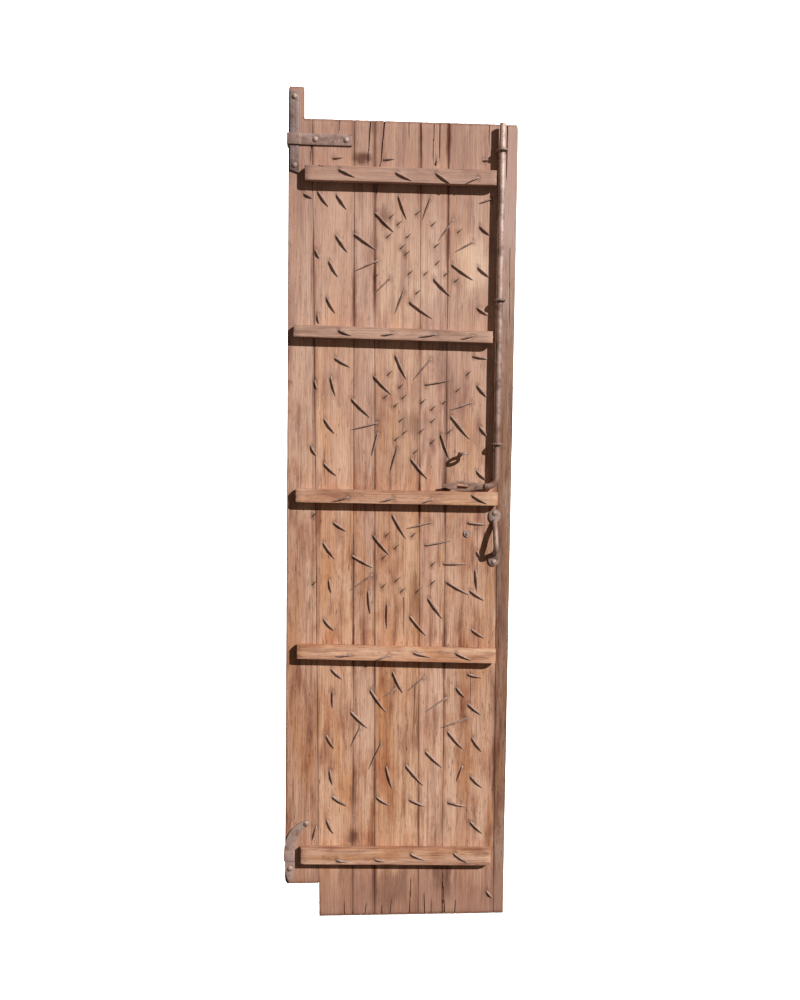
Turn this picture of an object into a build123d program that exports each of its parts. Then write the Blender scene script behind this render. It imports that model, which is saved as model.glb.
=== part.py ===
"""An old plank door leaf, hung on its own wooden pivots, in millimetres.

Seven upright boards are held together by five ledges across their inner face. Forged nails are
driven through from the outer face and hammered over on the inner one. A long iron bolt slides up
and down along the closing edge, and ends in a hasp that a padlock can hold on an eye.

The leaf is drawn in its own coordinates and moved once, at the end. In them x runs across from the
hanging edge, z runs up from the foot, y is 0 in the middle of the boards, and the inner, ledged
face looks towards -y. The finished part has its origin under the foot of the pivot stile, on the
line that the leaf turns about.
"""

from build123d import *
import os

# Boards, from the hanging edge: width at the head of the leaf, and at its foot.
LEAF_HEIGHT = 1915
BOARD_THICKNESS = 30
SEAM_GAP = 1.5
BOARDS = {
    "pivot_stile": (54, 84),
    "board_2": (98, 82),
    "board_3": (48, 54),
    "board_4": (108, 107),
    "board_5": (66, 59),
    "board_6": (121, 128),
    "closing_board": (44, 25),
}
CORNER_ROUND = 9

# The stile's wooden pivot at the head, and the step that is cut out of the leaf at its foot.
POST_WIDTH = 36
POST_HEIGHT = 72
POST_WORN_EDGE = 6
FOOT_STEP = 82
FOOT_WORN_CORNER = 12

# Ledges, from the top: inset of the left and right end, height of the middle line at the left and
# right end in hundredths of the leaf's height, and depth from top edge to bottom edge.
LEDGE_THICKNESS = 25
LEDGE_WORN_EDGE = 3
LEDGES = {
    "ledge_1": (37, 51, 93.26, 93.21, 36),
    "ledge_2": (13, 53, 74.26, 73.89, 29),
    "ledge_3": (20, 34, 54.10, 53.84, 33),
    "ledge_4": (25, 32, 34.57, 33.94, 35),
    "ledge_5": (37, 35, 8.41, 7.89, 40),
}

# Tongue on each board, in a groove in the board before it
TONGUE_THICKNESS = 8
TONGUE_REACH = 6
TONGUE_CLEARANCE = 0.5

# Forged nails: square shank, six-sided head on the outer face, and a point that is hammered over
# into a low bow with a ridge along its back.
SHANK = 5
HEAD_RADIUS = 11
HEAD_HEIGHT = 5
HEAD_SLOPE = 50
BOW_WIDTH = 5
BOW_RISE = 5.5
BOW_RIDGE = 1
BOW_POINT = 0.35
SMALL_SHANK = 3
SMALL_HEAD_RADIUS = 6
SMALL_HEAD_HEIGHT = 2
SMALL_REACH = 15
SMALL_WIDTH = 3
SMALL_RISE = 3
SMALL_TURN = 42

# Nails between the ledges. Each is: place across in hundredths of the leaf's width, place down in
# hundredths of the way to the next ledge, direction of the point in degrees (0 right, 90 up), and
# its reach.
NAILS_BELOW = {
    "ledge_1": [
        (7, 12.3, -30, 20), (13, 10.9, -55, 40), (21, 12.3, -55, 40), (48, 12.3, -70, 55),
        (62, 12.2, -110, 55), (88.5, 12.2, -160, 30), (38, 23.2, -45, 60), (72, 25.8, -125, 60),
        (84, 29.8, -40, 30), (29, 36.9, -35, 60), (21, 38.3, -55, 45), (81, 39.3, -150, 50),
        (12, 48, -65, 20), (39, 53.2, -155, 60), (72, 54.4, -35, 60), (18, 54.8, -60, 40),
        (83.5, 55.6, -40, 35), (44.5, 64.1, -135, 50), (64, 63.9, -45, 55), (50.5, 72.2, -110, 55),
        (17, 78.1, -60, 40), (53.5, 79, -35, 65), (83.5, 81.3, -35, 30), (13, 89.1, -80, 20),
    ],
    "ledge_2": [
        (82, 11.7, -10, 35), (47.5, 13, -65, 60), (63, 14.3, -130, 65), (21, 15.6, -30, 40),
        (38, 26, -45, 60), (19, 27.3, -75, 45), (12, 29.9, -75, 20), (61, 29.9, 10, 60),
        (84, 29.9, -50, 35), (28.5, 40.3, -45, 60), (81.5, 40.3, -160, 55), (72.5, 49.4, -50, 70),
        (16.5, 53.2, -55, 40), (39.5, 54.5, -165, 65), (85.5, 55.8, -50, 30), (40, 61, -105, 55),
        (68, 61, -70, 60), (10.5, 70, -60, 25), (48.5, 70.1, -105, 60), (55, 76.6, -50, 60),
        (16.5, 80.4, -45, 40), (84.5, 83.2, -45, 30),
    ],
    "ledge_3": [
        (47, 11.9, -60, 65), (64, 15.8, -165, 60), (81, 15.8, -5, 45), (21, 17.3, -35, 35),
        (38.5, 25.2, -50, 60), (16.5, 30.6, -55, 45), (62, 30.4, 10, 60), (85, 34.2, -55, 20),
        (29.5, 38.5, -30, 55), (70.5, 42.2, 0, 55), (84.5, 46.1, -85, 50), (38, 50.4, -145, 65),
        (72, 54.1, -30, 60), (19, 54.5, -80, 30), (82.5, 59.3, -35, 40), (36.5, 61, -85, 55),
        (63.5, 64.8, -55, 60), (45, 68.9, -90, 60), (55.5, 76.8, -50, 60), (17, 79.9, -50, 35),
        (83.5, 84.3, -35, 35),
    ],
    "ledge_4": [
        (20.5, 9, -45, 35), (48, 10, -65, 55), (82, 10, -15, 35), (62, 12, -140, 50),
        (77, 17, -50, 30), (49, 18, -145, 35), (38, 19, -55, 65), (21, 20, -90, 40),
        (72, 22, -145, 60), (82.5, 25, -40, 40), (29.5, 30, -45, 55), (81.5, 32, -160, 65),
        (33.5, 37, -115, 55), (73.5, 39, -50, 55), (18.5, 42, -60, 35), (84.5, 42, -55, 40),
        (43, 45, -115, 70), (63.5, 49, -45, 55), (80, 56, -110, 40), (54.5, 56, -50, 65),
        (45.5, 57, -75, 55), (20, 59, -80, 35), (84, 61, -45, 40), (21.5, 72, -35, 40),
        (41.5, 72, -35, 35), (56.5, 73, -25, 40), (74, 74, -15, 45), (19, 84, -65, 35),
        (84.5, 84, -45, 40), (14, 87, -105, 35),
    ],
}
# Small nails, also hammered over: place across and place down, both in hundredths.
SMALL_NAILS_BELOW = {
    "ledge_1": [
        (55.5, 23.2), (44, 25.9), (62.5, 29.9), (47.5, 30), (74, 33.9), (51.5, 38.1), (43, 38.2),
        (64, 43.5), (49, 45), (51, 49), (64.5, 54.4), (59.5, 61.2), (52.5, 61.3), (68.5, 61.2),
        (37.5, 64.2), (73, 65.2), (56, 73.5),
    ],
    "ledge_2": [
        (79, 23.4), (44, 24.7), (49, 32.5), (74.5, 33.8), (42.5, 39), (50.5, 39), (59, 41.5),
        (68.5, 41.6), (47, 44.2), (63.5, 45.5), (49.5, 53.2), (63.5, 53.2), (71, 59.7), (58.5, 59.7),
        (51, 61), (63.5, 66.2), (47.5, 65), (56, 72.7),
    ],
    "ledge_3": [
        (11.5, 13.3), (44, 25.2), (55.5, 25.2), (48, 33.1), (42.5, 39.8), (64.5, 43.6), (48.5, 54.3),
        (64.5, 55.5), (11.5, 57.4), (42.5, 58.3), (58, 60.9), (51, 60.9),
    ],
}
# Nails through the ledges: place across in hundredths, height above the ledge's middle line,
# direction and reach.
LEDGE_NAILS = {
    "ledge_1": [(22, 8, -25, 40), (46.5, 4, -25, 40), (64, 5, -35, 40), (82, -2, -155, 35)],
    "ledge_2": [(22.5, 3, -20, 30), (46, 1, -170, 30), (64.5, 2, -170, 40), (81, 1, -165, 30)],
    "ledge_3": [(27, -2, -165, 40), (47, -2, -165, 35), (64, -3, -160, 25), (82, 8, -30, 40)],
    "ledge_4": [(28.5, -4, -175, 35), (46, -2, -160, 40), (57, 5, -15, 40), (76, 6, -25, 40)],
    "ledge_5": [(23.5, -8, -10, 25), (41, -6, -10, 25), (57, 8, -25, 35), (76.5, 10, -35, 40)],
}
# Short nails above the top ledge: place across, drop below the head, direction and reach. One more
# stands near the foot, by its height above it.
HEAD_NAILS = [(19.5, 90, 5, 22), (41.5, 90, 5, 24), (64.5, 87, -100, 14), (85, 86, 5, 14)]
FOOT_NAIL = (92.5, 55, -50, 20)

# Iron at the upper pivot. The cross strap goes round the hanging edge and over the post strap.
STRAP_THICKNESS = 4
POST_STRAP_WIDTH = 21
POST_STRAP_INSET = 3
POST_STRAP_TOP_GAP = 12
POST_STRAP_DROP = 127
POST_STRAP_CUT = 7
CROSS_STRAP_WIDTH = 26
CROSS_STRAP_DROP = 49
CROSS_STRAP_REACH = 148
CROSS_STRAP_STEP = 5
POST_NAIL_MARGINS = (13, 18)
CROSS_STRAP_NAILS = [62, 134]
DOME_RADIUS = 7
DOME_HEIGHT = 4
IRON_NAIL_LENGTH = 24

# Iron shoe at the lower pivot: a hooked arm, a collar round the hanging edge and a pointed tongue.
SHOE_THICKNESS = 5
SHOE_WIDTH = 24
COLLAR_LOW = 142
COLLAR_HEIGHT = 24
COLLAR_THICKNESS = 7
SHOE_ARM_RISE = 78
SHOE_ARM_REACH = 60
SHOE_ARM_END = 9
TONGUE_LENGTH = 56

# Bolt: a round rod bent into a flat hasp with an oval hole.
ROD_RADIUS = 7.5
ROD_INSET = 40
ROD_STAND_OFF = 17
NOSE_RADIUS = 7
NOSE_LENGTH = 40
ROD_HEAD_DROP = 3
ROD_BEND = 21
HASP_THICKNESS = 5
HASP_WIDTH = 25
HASP_ROOT_WIDTH = 12
HASP_LENGTH = 105
HASP_TIP_WIDTH = 6
HASP_KNOB = 4.5
HASP_HOLE_LENGTH = 28
HASP_HOLE_WIDTH = 12
HASP_HOLE_BACK = 81
HASP_REST_GAP = 0.3

# Staples that the rod slides in: one below the head, one above the second ledge, one above the hasp.
UPPER_STAPLE_DROP = 65
MIDDLE_STAPLE_RISE = 87
LOWER_STAPLE_RISE = 101
STAPLE_WIRE = 3
ROD_CLEARANCE = 0.4
WIRE_CLEARANCE = 0.1
DRIVEN_DEPTH = 26

# Eye for the padlock, above the hasp at rest.
EYE_RISE = 78
EYE_RADIUS = 13
EYE_HOLE_RADIUS = 7.5
EYE_THICKNESS = 6
EYE_STAND_OFF = 24
EYE_STEM_WIDTH = 8

# Pull handle: a round bow between two flattened feet, fullest towards its lower end.
HANDLE_INSET = 40
HANDLE_DROP = 124
HANDLE_LENGTH = 138
HANDLE_STAND_OFF = 38
HANDLE_BAR_RADIUS = 6.3
HANDLE_UPPER_BEND = (0.5, 0.45)
HANDLE_LOWER_BEND = 0.6
HANDLE_BEND = 14
HANDLE_FOOT_WIDTH = 28
HANDLE_FOOT_LENGTH = 34
HANDLE_FOOT_THICKNESS = 4

# Pin left in the boards from an older fitting, riveted over a washer below the third ledge.
PIN_ACROSS = 80.5
PIN_DROP = 85
PIN_WASHER_RADIUS = 8.5
PIN_WASHER_THICKNESS = 3
PIN_RIVET_RADIUS = 5
PIN_RIVET_HEIGHT = 3.5

inner_y = -BOARD_THICKNESS / 2
outer_y = BOARD_THICKNESS / 2
ledge_y = inner_y - LEDGE_THICKNESS
names = list(BOARDS)
ledges = {
    name: (left, right, LEAF_HEIGHT * left_share / 100, LEAF_HEIGHT * right_share / 100, depth)
    for name, (left, right, left_share, right_share, depth) in LEDGES.items()
}
leaf_widths = [sum(w[end] for w in BOARDS.values()) for end in (0, 1)]


def between(at_head, at_foot, height):
    """A place that runs straight from the head of the leaf to its foot, at some height."""
    return at_foot + (at_head - at_foot) * height / LEAF_HEIGHT


def leaf_width(height):
    return between(leaf_widths[0], leaf_widths[1], height)


def across(hundredths, height):
    return leaf_width(height) * hundredths / 100


def ledge_middle(name, x):
    """Height of a ledge's middle line at a place across."""
    left, right, left_height, right_height, depth = ledges[name]
    span = leaf_width(left_height) - left - right
    return left_height + (right_height - left_height) * (x - left) / span


def below(name, hundredths, down):
    """A place under a ledge: hundredths of the leaf's width across, and of the way to the next ledge."""
    other = list(LEDGES)[list(LEDGES).index(name) + 1]
    x = across(hundredths, ledges[name][2])
    drop = (ledge_middle(name, x) - ledge_middle(other, x)) * down / 100
    x = across(hundredths, ledges[name][2] - drop)
    return x, ledge_middle(name, x) - drop


def plate(outline, back_y, thickness):
    """A flat piece: its outline in x and z, growing from back_y towards the inner side."""
    return Pos(0, back_y, 0) * extrude(Plane.XZ * outline, thickness)


def polygon(*points):
    return make_face(Polyline(*points, close=True))


def square_bar(side, length):
    """A square bar from y = 0 to y = -length."""
    return Pos(0, -length / 2, 0) * Box(side, length, side)


def faceted_head(radius, height, slope):
    """A six-sided nail head standing on y = 0, towards +y."""
    return extrude(Plane.ZX * RegularPolygon(radius, 6), height, taper=slope)


def bow(reach, width, rise):
    """A nail's point hammered over along +x: it rises from y = 0 towards -y and comes back to it."""
    half = width / 2
    stations = [
        (-half, width * 0.5, rise * 0.25), (width * 0.6, width, rise * 0.8), (reach * 0.45, width, rise),
        (reach * 0.75, width * 0.75, rise * 0.65), (reach, width * 0.35, rise * BOW_POINT / 2),
    ]
    sections = []
    for x, base, height in stations:
        ridge = min(BOW_RIDGE, base / 2) / 2
        outline = Polyline((-base / 2, 0), (-ridge, height), (ridge, height), (base / 2, 0), close=True)
        sections.append(Plane((x, 0, 0), x_dir=(0, 0, 1), z_dir=(1, 0, 0)) * make_face(outline))
    return loft(sections, ruled=True)


def forged_nail(grip, reach):
    """A nail through grip millimetres of wood, from y = 0, with its point hammered over along +x."""
    head = faceted_head(HEAD_RADIUS, HEAD_HEIGHT, HEAD_SLOPE)
    return head + square_bar(SHANK, grip) + Pos(0, -grip, 0) * bow(reach, BOW_WIDTH, BOW_RISE)


def small_nail():
    """A thin nail through the boards, its point also hammered over."""
    head = faceted_head(SMALL_HEAD_RADIUS, SMALL_HEAD_HEIGHT, HEAD_SLOPE)
    point = bow(SMALL_REACH, SMALL_WIDTH, SMALL_RISE)
    return head + square_bar(SMALL_SHANK, BOARD_THICKNESS) + Pos(0, -BOARD_THICKNESS, 0) * point


def dome_nail():
    """A nail driven in from the inner side: a domed head on y = 0 towards -y, and a square shank."""
    arc = ThreePointArc((0, -DOME_HEIGHT), (DOME_RADIUS * 0.6, -DOME_HEIGHT * 0.75), (DOME_RADIUS, 0))
    half_dome = make_face(arc + Line((DOME_RADIUS, 0), (0, 0)) + Line((0, 0), (0, -DOME_HEIGHT)))
    return revolve(half_dome, Axis.Y) + Pos(0, IRON_NAIL_LENGTH, 0) * square_bar(SHANK / 2, IRON_NAIL_LENGTH)


def placed(piece, x, y, z, turn=0):
    """A piece made round the y axis, put at a place and turned as seen from the inner side."""
    return Pos(x, y, z) * Rot(0, -turn, 0) * piece


def dome_nails(places, y):
    """Domed nails at (x, z) places, bearing on a face at y, and the shanks that cut their holes."""
    nails = [placed(dome_nail(), x, y, z) for x, z in places]
    hole = Pos(0, IRON_NAIL_LENGTH, 0) * square_bar(SHANK / 2, IRON_NAIL_LENGTH)
    return nails, [placed(hole, x, y, z) for x, z in places]


nodes = {}
holes = []

# Nails through the boards
nail_kinds = {}


def drive(node, x, z, turn, reach, grip):
    """Add a forged nail to a node, and its shank to the holes."""
    if (grip, reach) not in nail_kinds:
        nail_kinds[grip, reach] = forged_nail(grip, reach)
    nodes.setdefault(node, []).append(placed(nail_kinds[grip, reach], x, outer_y, z, turn))
    holes.append(placed(square_bar(SHANK, grip), x, outer_y, z, turn))


for number, ledge in enumerate(NAILS_BELOW, start=1):
    for share, down, turn, reach in NAILS_BELOW[ledge]:
        x, z = below(ledge, share, down)
        drive(f"panel_{number}_nails", x, z, turn, reach, BOARD_THICKNESS)
for ledge in LEDGE_NAILS:
    for share, rise, turn, reach in LEDGE_NAILS[ledge]:
        x = across(share, ledges[ledge][2])
        grip = BOARD_THICKNESS + LEDGE_THICKNESS
        drive(f"{ledge}_nails", x, ledge_middle(ledge, x) + rise, turn, reach, grip)
for share, drop, turn, reach in HEAD_NAILS:
    height = LEAF_HEIGHT - drop
    drive("end_nails", across(share, height), height, turn, reach, BOARD_THICKNESS)
share, height, turn, reach = FOOT_NAIL
drive("end_nails", across(share, height), height, turn, reach, BOARD_THICKNESS)

thin_nail = small_nail()
for number, ledge in enumerate(SMALL_NAILS_BELOW, start=1):
    for share, down in SMALL_NAILS_BELOW[ledge]:
        x, z = below(ledge, share, down)
        nodes.setdefault(f"small_nails_{number}", []).append(placed(thin_nail, x, outer_y, z, SMALL_TURN))
        holes.append(placed(square_bar(SMALL_SHANK, BOARD_THICKNESS), x, outer_y, z, SMALL_TURN))

# Pin, riveted over its washer
pin_x = across(PIN_ACROSS, ledges["ledge_3"][2] - PIN_DROP)
pin_z = ledge_middle("ledge_3", pin_x) - PIN_DROP
washer = plate(Circle(PIN_WASHER_RADIUS), 0, PIN_WASHER_THICKNESS)
rivet = extrude(Plane.XZ * RegularPolygon(PIN_RIVET_RADIUS, 8), PIN_RIVET_HEIGHT, taper=25)
riveted = washer + Pos(0, -PIN_WASHER_THICKNESS, 0) * rivet
split_pin = square_bar(SHANK, BOARD_THICKNESS) + Pos(0, -BOARD_THICKNESS, 0) * riveted
nodes["split_pin"] = placed(split_pin, pin_x, outer_y, pin_z)
holes.append(placed(square_bar(SHANK, BOARD_THICKNESS), pin_x, outer_y, pin_z))

# Post strap, its lower end cut at a slant
strap_left, strap_right = POST_STRAP_INSET, POST_STRAP_INSET + POST_STRAP_WIDTH
strap_top = LEAF_HEIGHT + POST_HEIGHT - POST_STRAP_TOP_GAP
strap_foot = LEAF_HEIGHT - POST_STRAP_DROP
post_strap = plate(
    polygon(
        (strap_left, strap_foot + POST_STRAP_CUT), (strap_right, strap_foot),
        (strap_right, strap_top), (strap_left, strap_top),
    ),
    inner_y, STRAP_THICKNESS,
)
strap_middle = (strap_left + strap_right) / 2
post_heights = (strap_top - POST_NAIL_MARGINS[0], strap_foot + POST_NAIL_MARGINS[1])
post_nails, post_nail_holes = dome_nails([(strap_middle, z) for z in post_heights], inner_y - STRAP_THICKNESS)
nodes["post_strap"] = post_strap - post_nail_holes

# Cross strap, bent round the hanging edge and stepped over the post strap
step_start = strap_right + 1
over_y = inner_y - STRAP_THICKNESS
strap_section = polygon(
    (-STRAP_THICKNESS, over_y - STRAP_THICKNESS), (step_start, over_y - STRAP_THICKNESS),
    (step_start + CROSS_STRAP_STEP, over_y), (CROSS_STRAP_REACH, over_y),
    (CROSS_STRAP_REACH, inner_y), (step_start + CROSS_STRAP_STEP, inner_y), (step_start, over_y),
    (0, over_y), (0, outer_y), (CROSS_STRAP_REACH, outer_y),
    (CROSS_STRAP_REACH, outer_y + STRAP_THICKNESS), (-STRAP_THICKNESS, outer_y + STRAP_THICKNESS),
)
cross_z = LEAF_HEIGHT - CROSS_STRAP_DROP
cross_strap = Pos(0, 0, cross_z) * extrude(strap_section, CROSS_STRAP_WIDTH / 2, both=True)
cross_places = [(x, cross_z) for x in CROSS_STRAP_NAILS]
cross_nails, cross_nail_holes = dome_nails(cross_places, inner_y - STRAP_THICKNESS)
nodes["cross_strap"] = cross_strap - cross_nail_holes
nodes["strap_nails"] = post_nails + cross_nails
holes += post_nail_holes + cross_nail_holes

# Shoe at the lower pivot
collar_top = COLLAR_LOW + COLLAR_HEIGHT
arm_top = collar_top + SHOE_ARM_RISE
arm_back = Spline(
    (0, collar_top), (SHOE_WIDTH * 0.1, collar_top + SHOE_ARM_RISE * 0.35),
    (SHOE_WIDTH * 0.75, collar_top + SHOE_ARM_RISE * 0.72), (SHOE_ARM_REACH, arm_top),
)
arm_front = Spline(
    (SHOE_ARM_REACH, arm_top - SHOE_ARM_END), (SHOE_WIDTH * 1.5, collar_top + SHOE_ARM_RISE * 0.6),
    (SHOE_WIDTH * 1.1, collar_top + SHOE_ARM_RISE * 0.3), (SHOE_WIDTH, collar_top),
)
arm = make_face(
    arm_back + Line(arm_back @ 1, arm_front @ 0) + arm_front + Line(arm_front @ 1, arm_back @ 0)
)
tongue_tip = (SHOE_WIDTH / 2, COLLAR_LOW - TONGUE_LENGTH)
tongue_left = ThreePointArc(
    (0, COLLAR_LOW), (SHOE_WIDTH * 0.12, COLLAR_LOW - TONGUE_LENGTH * 0.6), tongue_tip
)
tongue_right = ThreePointArc(
    tongue_tip, (SHOE_WIDTH * 0.88, COLLAR_LOW - TONGUE_LENGTH * 0.6), (SHOE_WIDTH, COLLAR_LOW)
)
tongue = make_face(tongue_left + tongue_right + Line((SHOE_WIDTH, COLLAR_LOW), (0, COLLAR_LOW)))
collar_section = polygon(
    (-COLLAR_THICKNESS / 2, inner_y - COLLAR_THICKNESS), (SHOE_WIDTH, inner_y - COLLAR_THICKNESS),
    (SHOE_WIDTH, inner_y), (0, inner_y), (0, outer_y), (SHOE_WIDTH, outer_y),
    (SHOE_WIDTH, outer_y + SHOE_THICKNESS), (-COLLAR_THICKNESS / 2, outer_y + SHOE_THICKNESS),
)
collar = Pos(0, 0, COLLAR_LOW) * extrude(collar_section, COLLAR_HEIGHT)
shoe_places = [
    (SHOE_ARM_REACH - SHOE_ARM_END, arm_top - SHOE_ARM_END),
    (SHOE_WIDTH / 2, COLLAR_LOW - TONGUE_LENGTH / 3),
]
shoe_nails, shoe_nail_holes = dome_nails(shoe_places, inner_y - SHOE_THICKNESS)
shoe = plate(arm, inner_y, SHOE_THICKNESS) + plate(tongue, inner_y, SHOE_THICKNESS) + collar
nodes["pivot_shoe"] = shoe - shoe_nail_holes
nodes["shoe_nails"] = shoe_nails
holes += shoe_nail_holes

# Bolt: rod, bend and hasp in one forging
rod_x = leaf_width(LEAF_HEIGHT) - ROD_INSET
rod_y = inner_y - ROD_STAND_OFF
rod_top = LEAF_HEIGHT - ROD_HEAD_DROP
hasp_root = rod_x - ROD_BEND
hole_x = rod_x - HASP_HOLE_BACK
hasp_z = ledge_middle("ledge_3", hole_x) + ledges["ledge_3"][4] / 2 + HASP_WIDTH / 2 + HASP_REST_GAP
hasp_tip = hasp_root - HASP_LENGTH
rod_line = FilletPolyline(
    (rod_x, rod_top - NOSE_LENGTH), (rod_x, hasp_z), (hasp_root - ROD_RADIUS, hasp_z), radius=ROD_BEND
)
rod_path = Pos(0, rod_y, 0) * (Plane.XZ * rod_line)
rod = sweep(Plane(rod_path @ 0, z_dir=rod_path % 0) * Circle(ROD_RADIUS), path=rod_path)
nose = Pos(rod_x, rod_y, rod_top - NOSE_LENGTH / 2) * Cylinder(NOSE_RADIUS, NOSE_LENGTH)
blade_top = Spline(
    (hasp_root, HASP_ROOT_WIDTH / 2), (hole_x + HASP_HOLE_LENGTH / 2, HASP_WIDTH * 0.46),
    (hole_x, HASP_WIDTH / 2), (hole_x - HASP_HOLE_LENGTH * 0.6, HASP_WIDTH * 0.42),
    (hasp_tip, HASP_TIP_WIDTH / 2),
)
blade_foot = mirror(blade_top, Plane.XZ)
blade = make_face(
    blade_top + blade_foot
    + Line(blade_top @ 0, blade_foot @ 0) + Line(blade_top @ 1, blade_foot @ 1)
)
knob = Pos(hasp_tip, 0) * Circle(HASP_KNOB)
hasp_hole = Pos(hole_x, 0) * SlotOverall(HASP_HOLE_LENGTH, HASP_HOLE_WIDTH)
hasp = Pos(0, 0, hasp_z) * plate(blade + knob - hasp_hole, rod_y + HASP_THICKNESS / 2, HASP_THICKNESS)
nodes["bolt_rod"] = rod + nose + hasp

# Staples round the rod
leg_offset = ROD_RADIUS + ROD_CLEARANCE + STAPLE_WIRE
driven_y = inner_y + DRIVEN_DEPTH
staples = {
    "upper_staple": LEAF_HEIGHT - UPPER_STAPLE_DROP,
    "middle_staple": ledge_middle("ledge_2", rod_x) + MIDDLE_STAPLE_RISE,
    "lower_staple": hasp_z + LOWER_STAPLE_RISE,
}
for name, height in staples.items():
    left, right = rod_x - leg_offset, rod_x + leg_offset
    bent = Pos(0, 0, height) * (
        Line((left, driven_y), (left, rod_y))
        + ThreePointArc((left, rod_y), (rod_x, rod_y - leg_offset), (right, rod_y))
        + Line((right, rod_y), (right, driven_y))
    )
    nodes[name] = sweep(Plane(bent @ 0, z_dir=bent % 0) * Circle(STAPLE_WIRE), path=bent)
    for x in (left, right):
        leg_hole = Pos(x, inner_y + DRIVEN_DEPTH / 2, height) * Rot(90, 0, 0)
        holes.append(leg_hole * Cylinder(STAPLE_WIRE + WIRE_CLEARANCE, DRIVEN_DEPTH))

# Eye
eye_y = inner_y - EYE_STAND_OFF
stem_length = EYE_STAND_OFF + DRIVEN_DEPTH
stem = Pos(hole_x, eye_y + stem_length / 2) * Rectangle(EYE_STEM_WIDTH, stem_length)
eye_ring = Pos(hole_x, eye_y) * Circle(EYE_RADIUS) + stem - Pos(hole_x, eye_y) * Circle(EYE_HOLE_RADIUS)
eye_z = hasp_z + EYE_RISE
nodes["hasp_eye"] = Pos(0, 0, eye_z) * extrude(eye_ring, EYE_THICKNESS / 2, both=True)
holes.append(
    Pos(hole_x, inner_y + DRIVEN_DEPTH / 2, eye_z) * Box(EYE_STEM_WIDTH, DRIVEN_DEPTH, EYE_THICKNESS)
)

# Pull handle
handle_z = hasp_z - HANDLE_DROP
handle_x = leaf_width(handle_z) - HANDLE_INSET
bow_reach = HANDLE_LENGTH / 2 - HANDLE_FOOT_LENGTH + HANDLE_BAR_RADIUS
bow_start = inner_y - HANDLE_FOOT_THICKNESS / 2
bow_front = inner_y - HANDLE_STAND_OFF
upper_share, upper_rise = HANDLE_UPPER_BEND
grip_line = FilletPolyline(
    (bow_start, bow_reach), (bow_start + (bow_front - bow_start) * upper_share, bow_reach * upper_rise),
    (bow_front, -bow_reach * HANDLE_LOWER_BEND), (bow_start, -bow_reach), radius=HANDLE_BEND
)
grip_path = Pos(handle_x, 0, handle_z) * (Plane.YZ * grip_line)
handle = sweep(Plane(grip_path @ 0, z_dir=grip_path % 0) * Circle(HANDLE_BAR_RADIUS), path=grip_path)
wood_behind = Pos(handle_x, handle_z) * Rectangle(HANDLE_LENGTH, HANDLE_LENGTH)
handle -= plate(wood_behind, outer_y, BOARD_THICKNESS)
for way in (1, -1):
    foot_z = handle_z + way * (HANDLE_LENGTH - HANDLE_FOOT_LENGTH) / 2
    foot = Pos(handle_x, foot_z) * Ellipse(HANDLE_FOOT_WIDTH / 2, HANDLE_FOOT_LENGTH / 2)
    handle += plate(foot, inner_y, HANDLE_FOOT_THICKNESS)
foot_nail_z = HANDLE_LENGTH / 2 - HANDLE_FOOT_LENGTH * 0.28
handle_places = [(handle_x, handle_z + way * foot_nail_z) for way in (1, -1)]
handle_nails, handle_nail_holes = dome_nails(handle_places, inner_y - HANDLE_FOOT_THICKNESS)
nodes["pull_handle"] = handle - handle_nail_holes
nodes["handle_nails"] = handle_nails
holes += handle_nail_holes


def drilled(piece):
    """A piece of wood with the holes of everything that is driven through it."""
    box = piece.bounding_box()
    reached = []
    for hole in holes:
        other = hole.bounding_box()
        apart = other.min.X > box.max.X or other.max.X < box.min.X
        if not (apart or other.min.Z > box.max.Z or other.max.Z < box.min.Z):
            reached.append(hole)
    return piece - reached


def seam_strip(edge, start, stop, thickness, low):
    """A strip along a board's edge, from start to stop beside it, midway through the thickness."""
    at_head, at_low = edge[0], between(edge[0], edge[1], low)
    outline = polygon(
        (at_low + start, low), (at_low + stop, low),
        (at_head + stop, LEAF_HEIGHT), (at_head + start, LEAF_HEIGHT),
    )
    return plate(outline, thickness / 2, thickness)


# Boards
head_seams = [sum(BOARDS[n][0] for n in names[:i]) for i in range(len(names) + 1)]
foot_seams = [sum(BOARDS[n][1] for n in names[:i]) for i in range(len(names) + 1)]
for i, name in enumerate(names):
    left_gap = SEAM_GAP / 2 if i else 0
    right_gap = SEAM_GAP / 2 if i < len(names) - 1 else 0
    left = [end[i] + left_gap for end in (head_seams, foot_seams)]
    right = [end[i + 1] - right_gap for end in (head_seams, foot_seams)]
    if name == "pivot_stile":
        step_right = between(right[0], right[1], FOOT_STEP)
        post_top = LEAF_HEIGHT + POST_HEIGHT
        outline = polygon(
            (FOOT_WORN_CORNER, FOOT_STEP), (step_right, FOOT_STEP), (right[0], LEAF_HEIGHT),
            (POST_WIDTH, LEAF_HEIGHT), (POST_WIDTH, post_top), (0, post_top),
            (0, FOOT_STEP + FOOT_WORN_CORNER),
        )
    else:
        outline = polygon((left[1], 0), (right[1], 0), (right[0], LEAF_HEIGHT), (left[0], LEAF_HEIGHT))
    board = plate(outline, outer_y, BOARD_THICKNESS)
    if i:
        board += seam_strip(left, -SEAM_GAP - TONGUE_REACH, 0, TONGUE_THICKNESS, FOOT_STEP if i == 1 else 0)
    if i < len(names) - 1:
        sunk = TONGUE_REACH + TONGUE_CLEARANCE
        board -= seam_strip(right, -sunk, SEAM_GAP, TONGUE_THICKNESS + 2 * TONGUE_CLEARANCE, 0)
    if name == "pivot_stile":
        board = chamfer(board.faces().sort_by(Axis.Z)[-1].edges(), POST_WORN_EDGE)
    if name == "closing_board":
        upright = board.edges().filter_by(Axis.Y)
        board = fillet(upright.group_by(Axis.Z)[-1].sort_by(Axis.X)[-1], CORNER_ROUND)
    nodes[name] = drilled(board)

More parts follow.
